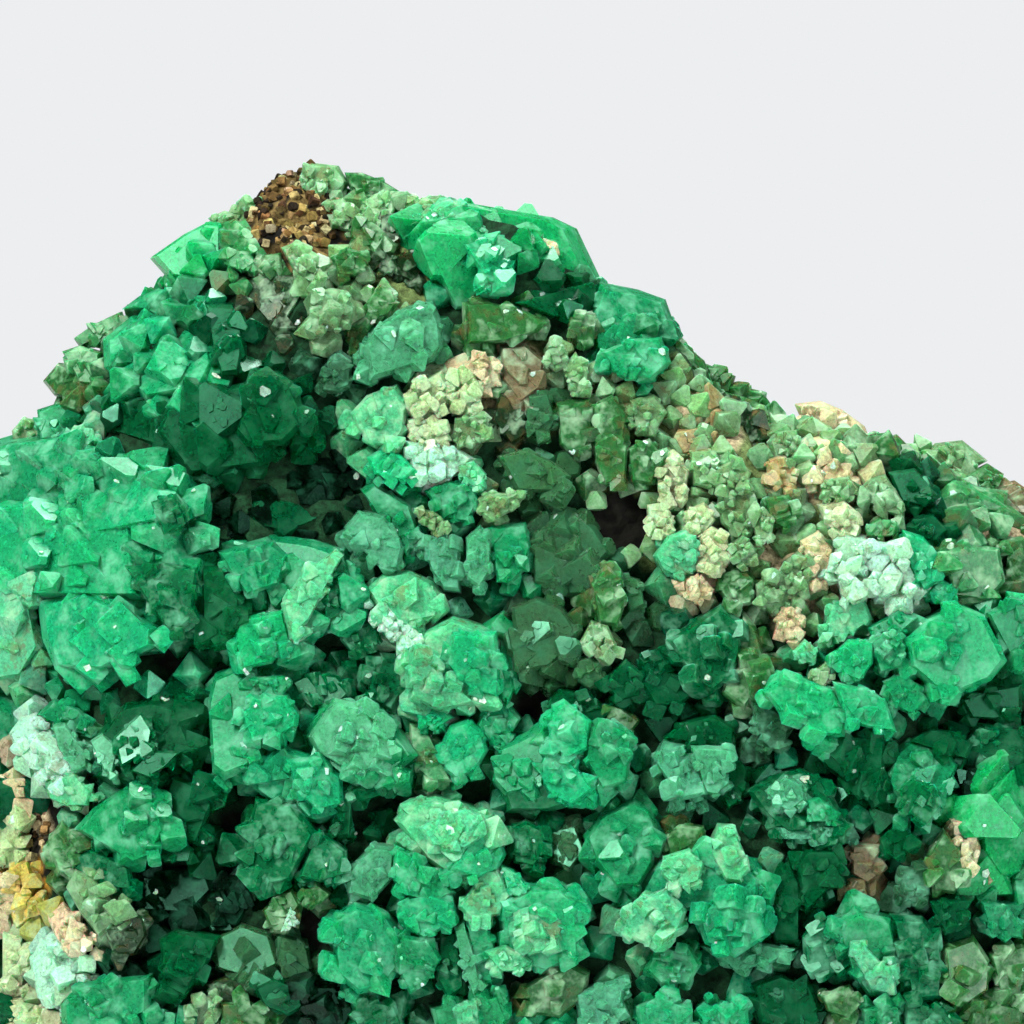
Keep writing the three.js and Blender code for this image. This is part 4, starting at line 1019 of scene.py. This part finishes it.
def blocks_object(name, blocks):
    starts = np.cumsum([0] + [len(b.corners) for b in blocks[:-1]])
    corners = np.concatenate([b.corners for b in blocks]) * MM
    triangles = np.concatenate([b.triangles + start for b, start in zip(blocks, starts)])
    tints = np.concatenate([b.tints for b in blocks])
    tints = np.concatenate([tints, np.ones((len(tints), 1))], axis=1)
    mesh = bpy.data.meshes.new(name)
    mesh.from_pydata(corners.tolist(), [], triangles.tolist())
    layer = mesh.attributes.new("tint", "FLOAT_COLOR", "FACE")
    layer.data.foreach_set("color", tints.astype(np.float32).ravel())
    return bpy.data.objects.new(name, mesh)


CUT_TINT = [0.0, 0.1, 0.04, 1.0]


def box_object(name, low, high):
    corners, triangles, _ = hull_of(np.array(list(itertools.product(*zip(low, high)))))
    mesh = bpy.data.meshes.new(name)
    mesh.from_pydata((corners * MM).tolist(), [], triangles.tolist())
    layer = mesh.attributes.new("tint", "FLOAT_COLOR", "FACE")
    layer.data.foreach_set("color", CUT_TINT * len(triangles))
    return bpy.data.objects.new(name, mesh)


# Nothing of the crystals reaches below this block's top, so the specimen stands on its rock
FOOT_CUTTER = box_object("foot_cutter", (-FAR, -FAR, -FAR), (FAR, FAR, CRUST_FOOT))


def joined(name, blocks):
    """Blocks joined into one closed mesh with no faces inside."""
    objects = [blocks_object(f"{name}_{i}", members) for i, members in enumerate(apart_sets(blocks))]
    operands = bpy.data.collections.new(name)
    for extra in objects[1:]:
        operands.objects.link(extra)
    bpy.context.scene.collection.objects.link(objects[0])
    union = objects[0].modifiers.new("join", "BOOLEAN")
    union.operation = "UNION"
    union.solver = "MANIFOLD"
    union.operand_type = "COLLECTION"
    union.collection = operands
    foot = objects[0].modifiers.new("foot", "BOOLEAN")
    foot.operation = "DIFFERENCE"
    foot.solver = "MANIFOLD"
    foot.object = FOOT_CUTTER
    evaluated = objects[0].evaluated_get(bpy.context.evaluated_depsgraph_get())
    mesh = bpy.data.meshes.new_from_object(evaluated)
    mesh.name = name
    for extra in objects:
        old = extra.data
        bpy.data.objects.remove(extra)
        bpy.data.meshes.remove(old)
    bpy.data.collections.remove(operands)
    piece = bpy.data.objects.new(name, mesh)
    bpy.context.scene.collection.objects.link(piece)
    return piece


# Materials
def new_material(name):
    material = bpy.data.materials.new(name)
    material.use_nodes = True
    tree = material.node_tree
    return material, tree, tree.nodes["Principled BSDF"]


def add(tree, kind, **inputs):
    node = tree.nodes.new(kind)
    for name, value in inputs.items():
        node.inputs[name.replace("_", " ")].default_value = value
    return node


def object_place(tree):
    return tree.nodes.new("ShaderNodeTexCoord").outputs["Object"]


def noise_value(tree, scale, detail=3, roughness=0.6, kind="FBM"):
    texture = add(tree, "ShaderNodeTexNoise", Scale=scale, Detail=detail, Roughness=roughness)
    texture.noise_type = kind
    tree.links.new(object_place(tree), texture.inputs["Vector"])
    return texture.outputs["Fac"]


def vector_math(tree, operation, first, second):
    node = tree.nodes.new("ShaderNodeVectorMath")
    node.operation = operation
    for socket, value in zip(node.inputs, (first, second)):
        if isinstance(value, bpy.types.NodeSocket):
            tree.links.new(value, socket)
        else:
            socket.default_value = value
    return node


def ranged(tree, value, low, high, new_low, new_high):
    node = tree.nodes.new("ShaderNodeMapRange")
    for socket, number in zip(node.inputs[1:5], (low, high, new_low, new_high)):
        socket.default_value = number
    tree.links.new(value, node.inputs["Value"])
    return node.outputs["Result"]


def mixed(tree, factor, first, second):
    node = tree.nodes.new("ShaderNodeMix")
    node.data_type = "RGBA"
    sockets = [s for s in node.inputs if s.enabled]
    for socket, value in zip(sockets, (factor, first, second)):
        if isinstance(value, bpy.types.NodeSocket):
            tree.links.new(value, socket)
        else:
            socket.default_value = value
    return next(s for s in node.outputs if s.enabled)


def bumped(tree, shader, layers):
    """Bumps of some heights, one over the other."""
    normal = None
    for height, strength, distance in layers:
        bump = add(tree, "ShaderNodeBump", Strength=strength, Distance=distance)
        tree.links.new(height, bump.inputs["Height"])
        if normal:
            tree.links.new(normal, bump.inputs["Normal"])
        normal = bump.outputs["Normal"]
    tree.links.new(normal, shader.inputs["Normal"])


def fluorite(name, clearness, gloss, shine, glint, cloud, veil_colour, stain):
    """Green crystal: see-through, tinted as it grew, with cloudy veils, pale veins and some brown stain."""
    material, tree, shader = new_material(name)
    tint = tree.nodes.new("ShaderNodeAttribute")
    tint.attribute_name = "tint"
    mottle = noise_value(tree, MOTTLE_SCALE, 3, 0.7)
    veins = noise_value(tree, MOTTLE_SCALE, 2, 0.6, "RIDGED_MULTIFRACTAL")
    grain = vector_math(tree, "SCALE", tint.outputs["Color"], (0, 0, 0))
    specks = noise_value(tree, SPECK_SCALE, 2, 0.8)
    tree.links.new(ranged(tree, specks, 0.3, 0.7, *SPECK_LIGHT), grain.inputs["Scale"])
    clouded = mixed(tree, ranged(tree, mottle, 0.5, 0.7, 0, cloud), grain.outputs["Vector"], veil_colour)
    veined = mixed(tree, ranged(tree, veins, 1.0, 1.35, 0, cloud), clouded, veil_colour)
    stained = mixed(tree, ranged(tree, mottle, 0.46, 0.3, 0, stain), veined, STAIN)
    tree.links.new(stained, shader.inputs["Base Color"])
    tree.links.new(ranged(tree, mottle, 0.35, 0.65, gloss, gloss + DULL), shader.inputs["Roughness"])
    shader.inputs["Transmission Weight"].default_value = clearness
    shader.inputs["IOR"].default_value = FLUORITE_IOR
    shader.inputs["Specular IOR Level"].default_value = shine
    shader.inputs["Specular Tint"].default_value = glint
    shader.inputs["Subsurface Weight"].default_value = GLOW
    shader.inputs["Subsurface Radius"].default_value = GLOW_RADIUS
    shader.inputs["Subsurface Scale"].default_value = GLOW_REACH
    return material, tree


def absorb(crystal_material, colour, density):
    """Light is lost on its way through the crystal, its red most."""
    material, tree = crystal_material
    volume = add(tree, "ShaderNodeVolumeAbsorption", Color=(*colour, 1), Density=density)
    tree.links.new(volume.outputs["Volume"], tree.nodes["Material Output"].inputs["Volume"])
    return material


def rock_material():
    """Brown grainy rock, dark in the gaps between the crystals, with pale and rusty stains."""
    material, tree, shader = new_material("brown_rock")
    grain = noise_value(tree, ROCK_GRAIN_SCALE, 6, 0.75)
    tint = tree.nodes.new("ShaderNodeAttribute")
    tint.attribute_name = "tint"
    shadow = vector_math(tree, "MULTIPLY", tint.outputs["Color"], ROCK_SHADOW)
    lightness = ranged(tree, grain, 0.38, 0.62, 0, 1)
    grained = mixed(tree, lightness, shadow.outputs["Vector"], tint.outputs["Color"])
    tree.links.new(grained, shader.inputs["Base Color"])
    shader.inputs["Roughness"].default_value = 0.9
    shader.inputs["Specular IOR Level"].default_value = 0.15
    bumped(tree, shader, [(grain, 0.8, 0.0005)])
    return material


def floor_material():
    material, tree, shader = new_material("pale_floor")
    shader.inputs["Base Color"].default_value = (0.78, 0.79, 0.8, 1)
    shader.inputs["Roughness"].default_value = 0.7
    return material


FLUORITE_IOR = 1.434
MOTTLE_SCALE = 420
SPECK_SCALE = 3200
SPECK_LIGHT = (0.55, 1.5)
DULL = 0.22  # how much rougher the dull places are
ROCK_GRAIN_SCALE = 1100
ROCK_SHADOW = (0.22, 0.2, 0.18)
STAIN = (0.16, 0.12, 0.045, 1)
GLOW = 0.75  # light spread inside the crystals
GLOW_RADIUS = (0.25, 1.0, 0.6)
GLOW_REACH = 0.0020
EMERALD = fluorite("fluorite_emerald", 0.4, 0.22, 0.3, (0.4, 0.9, 0.65, 1), 0.6, (0.20, 0.62, 0.38, 1), 0)
CLEAR = fluorite("fluorite_clear", 0.6, 0.2, 0.2, (0.2, 0.7, 0.45, 1), 0.4, (0.03, 0.26, 0.12, 1), 0)
MILKY = fluorite("fluorite_milky", 0.3, 0.24, 0.3, (0.7, 0.95, 0.75, 1), 0.6, (0.40, 0.66, 0.40, 1), 0.6)
FAMILIES = {
    "body": absorb(EMERALD, (0.01, 0.8, 0.4), 120),
    "clear": absorb(CLEAR, (0.01, 0.75, 0.4), 160),
    "milky": absorb(MILKY, (0.4, 0.8, 0.45), 60),
}
BROWN_ROCK = rock_material()

# Pieces
SIDES = ("far_left", "left", "right", "far_right")
SIDE_EDGES = (-36, 0, 33)  # where one ends and the next begins


def finish_piece(piece, material, node):
    piece.data.materials.clear()
    piece.data.materials.append(material)
    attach(piece, "root")
    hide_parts(node)


def make_crystals():
    front = list(front_crystals())
    crystals = front + list(wrap_crystals(front))
    grown = [(crystal, growth(crystal)) for crystal in crystals]
    grown += [(filler, filler_growth(filler)) for filler in fillers(crystals)]
    blocks = {}
    for crystal, members in grown:
        family = TONES[crystal.tone][1]
        side = SIDES[int(np.searchsorted(SIDE_EDGES, crystal.place[0]))]
        blocks.setdefault((family, side), []).extend(members)
    for (family, side), members in sorted(blocks.items()):
        members.sort(key=lambda block: -block.reach)
        piece = joined(f"crystals_{family}_{side}", members)
        finish_piece(piece, FAMILIES[family], "fluorite_crystals")


def rock_tints(points):
    """Colour of the rock: dark, as painted shade, where crystals cover it, brown where it is bare, stained in
    places.
    """
    # painted shade: the rock under the crystals starts dark green
    tints = np.tile(ROCK_GAP_SHADE, (len(points), 1))
    patches = np.array([noise.noise(Vector(p) / PATCH_SIZE) for p in points])
    browns = np.array(ROCK_BROWN) * (1 + PATCH_SPREAD * patches[:, None])
    back = points[:, 1] > BACK_START
    tints[back] = browns[back]
    tints[in_spots(points, DRUSE_ZONES)] = ROCK_PALE
    tints[in_spots(points, BARE_SPOTS, BARE_REACH)] = ROCK_BROWN
    tints[in_spots(points, TAN_SPOTS)] = ROCK_TAN
    tints[in_spots(points, RUST_SPOTS)] = ROCK_RUST
    # painted shade: pockets and pits of the rock are painted near-black
    tints[in_spots(points, HOLES_PAINTED_SHADE, HOLE_SHADE_REACH)] = ROCK_HOLE_SHADE
    pit_shade = np.array([noise.noise(Vector(p) / PIT_SHADE_SIZE) for p in points]) > PIT_SHADE_LEVEL
    tints[pit_shade & in_spots(points, BARE_SPOTS, BARE_REACH)] = ROCK_HOLE_SHADE
    return tints


def knob_height(point):
    """How far the bare rock at the peak stands up over the rest."""
    across = (point.x - PEAK_BARE[0]) / KNOB_WIDTH
    up = min(1, max(0, (point.z - KNOB_FOOT) / KNOB_WIDTH))
    return KNOB_HEIGHT * up * math.exp(-across * across)


def make_grains(points):
    """Grains of many browns on the bare rock of the front."""
    spots = points[in_spots(points, BARE_SPOTS, GRAIN_REACH)]
    grains = []
    for i in range(GRAINS):
        place = spots[rng.integers(len(spots))] + rng.normal(scale=GRAIN_SPREAD, size=3)
        matrix = small_turn(ANY_TURN) * rng.uniform(*GRAIN_RADIUS)
        grains.append(Block(any_of(CUBE_SHAPES), matrix, place, shade(any_of(GRAIN_TINTS), GRAIN_SHADES)))
    finish_piece(joined("matrix_grains", grains), BROWN_ROCK, "matrix")


def make_rock():
    bm = bmesh.new()
    bm.from_mesh(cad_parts["matrix"].data)
    bmesh.ops.remove_doubles(bm, verts=bm.verts, dist=1e-6)
    bmesh.ops.scale(bm, vec=(1 / MM,) * 3, verts=bm.verts)
    for i in range(ROCK_ROUNDS):
        long = [e for e in bm.edges if e.calc_length() > ROCK_EDGE]
        if not long:
            break
        bmesh.ops.subdivide_edges(bm, edges=long, cuts=1)
        bmesh.ops.triangulate(bm, faces=bm.faces)
    bm.normal_update()
    tints = rock_tints(np.array([v.co[:] for v in bm.verts]))
    for vert in bm.verts:
        if vert.co.z < BASE_LEVEL:
            continue
        height = sum(tall * noise.noise(vert.co / size) for size, tall in ROCK_ROUGHNESS)
        vert.co += vert.normal * (height - ROCK_SINK)
        vert.co.z += knob_height(vert.co)
        vert.co.z = max(vert.co.z, BASE_GAP)
    make_grains(np.array([v.co[:] for v in bm.verts]))
    bmesh.ops.scale(bm, vec=(MM,) * 3, verts=bm.verts)
    mesh = bpy.data.meshes.new("matrix_rock")
    bm.to_mesh(mesh)
    bm.free()
    layer = mesh.attributes.new("tint", "FLOAT_COLOR", "POINT")
    tints = np.concatenate([tints, np.ones((len(tints), 1))], axis=1)
    layer.data.foreach_set("color", tints.astype(np.float32).ravel())
    piece = bpy.data.objects.new("matrix_rock", mesh)
    bpy.context.scene.collection.objects.link(piece)
    finish_piece(piece, BROWN_ROCK, "matrix")


make_crystals()
make_rock()
bpy.data.objects.remove(FOOT_CUTTER)


# Stage
FLOOR_SIZE = 6
LIGHT_AIM = Vector((0, 0, 0.055))
LIGHTS = [  # name, place, size, power and colour
    ("key", (-0.4, -0.5, 0.6), 0.28, 14, (1.0, 0.98, 0.95)),
    ("fill", (0.7, -0.6, 0.3), 0.3, 6, (0.95, 0.98, 1.0)),
    ("top", (0.1, 0.1, 0.8), 0.3, 9, (1, 1, 1)),
]
SEEN_SKY = (0.84, 0.855, 0.87, 1)
LIT_SKY = (0.8, 0.83, 0.86, 1)
LIT_STRENGTH = 0.15


def make_stage():
    bpy.ops.mesh.primitive_plane_add(size=FLOOR_SIZE)
    floor = bpy.context.object
    floor.name = "floor"
    floor.data.materials.append(floor_material())


def area_light(name, place, size, power, colour):
    data = bpy.data.lights.new(name, "AREA")
    data.size = size
    data.energy = power
    data.color = colour
    lamp = bpy.data.objects.new(name, data)
    lamp.location = place
    aim = LIGHT_AIM - Vector(place)
    lamp.rotation_euler = aim.to_track_quat("-Z", "Y").to_euler()
    bpy.context.scene.collection.objects.link(lamp)


def make_light():
    for light in LIGHTS:
        area_light(*light)
    world = bpy.data.worlds.new("studio")
    bpy.context.scene.world = world
    world.use_nodes = True
    tree = world.node_tree
    seen = tree.nodes["Background"]
    seen.inputs["Color"].default_value = SEEN_SKY
    lit = add(tree, "ShaderNodeBackground", Color=LIT_SKY, Strength=LIT_STRENGTH)
    path = tree.nodes.new("ShaderNodeLightPath")
    mix = tree.nodes.new("ShaderNodeMixShader")
    tree.links.new(path.outputs["Is Camera Ray"], mix.inputs["Fac"])
    tree.links.new(lit.outputs["Background"], mix.inputs[1])
    tree.links.new(seen.outputs["Background"], mix.inputs[2])
    tree.links.new(mix.outputs["Shader"], tree.nodes["World Output"].inputs["Surface"])


def make_camera():
    data = bpy.data.cameras.new("camera")
    data.sensor_width = SENSOR
    data.lens = SENSOR * VIEW_DISTANCE / IMAGE_WIDTH
    camera = bpy.data.objects.new("camera", data)
    camera.location = Vector((0, FACE_DEPTH - VIEW_DISTANCE, VIEW_HEIGHT)) * MM
    camera.rotation_euler = (math.pi / 2, 0, 0)
    bpy.context.scene.collection.objects.link(camera)
    bpy.context.scene.camera = camera


make_stage()
make_light()
make_camera()
scene = bpy.context.scene
scene.view_settings.view_transform = "Standard"
scene.cycles.use_denoising = True
scene.cycles.max_bounces = 3
scene.cycles.diffuse_bounces = 1
scene.cycles.glossy_bounces = 2
scene.cycles.transmission_bounces = 2
scene.cycles.caustics_reflective = False
scene.cycles.use_light_tree = False
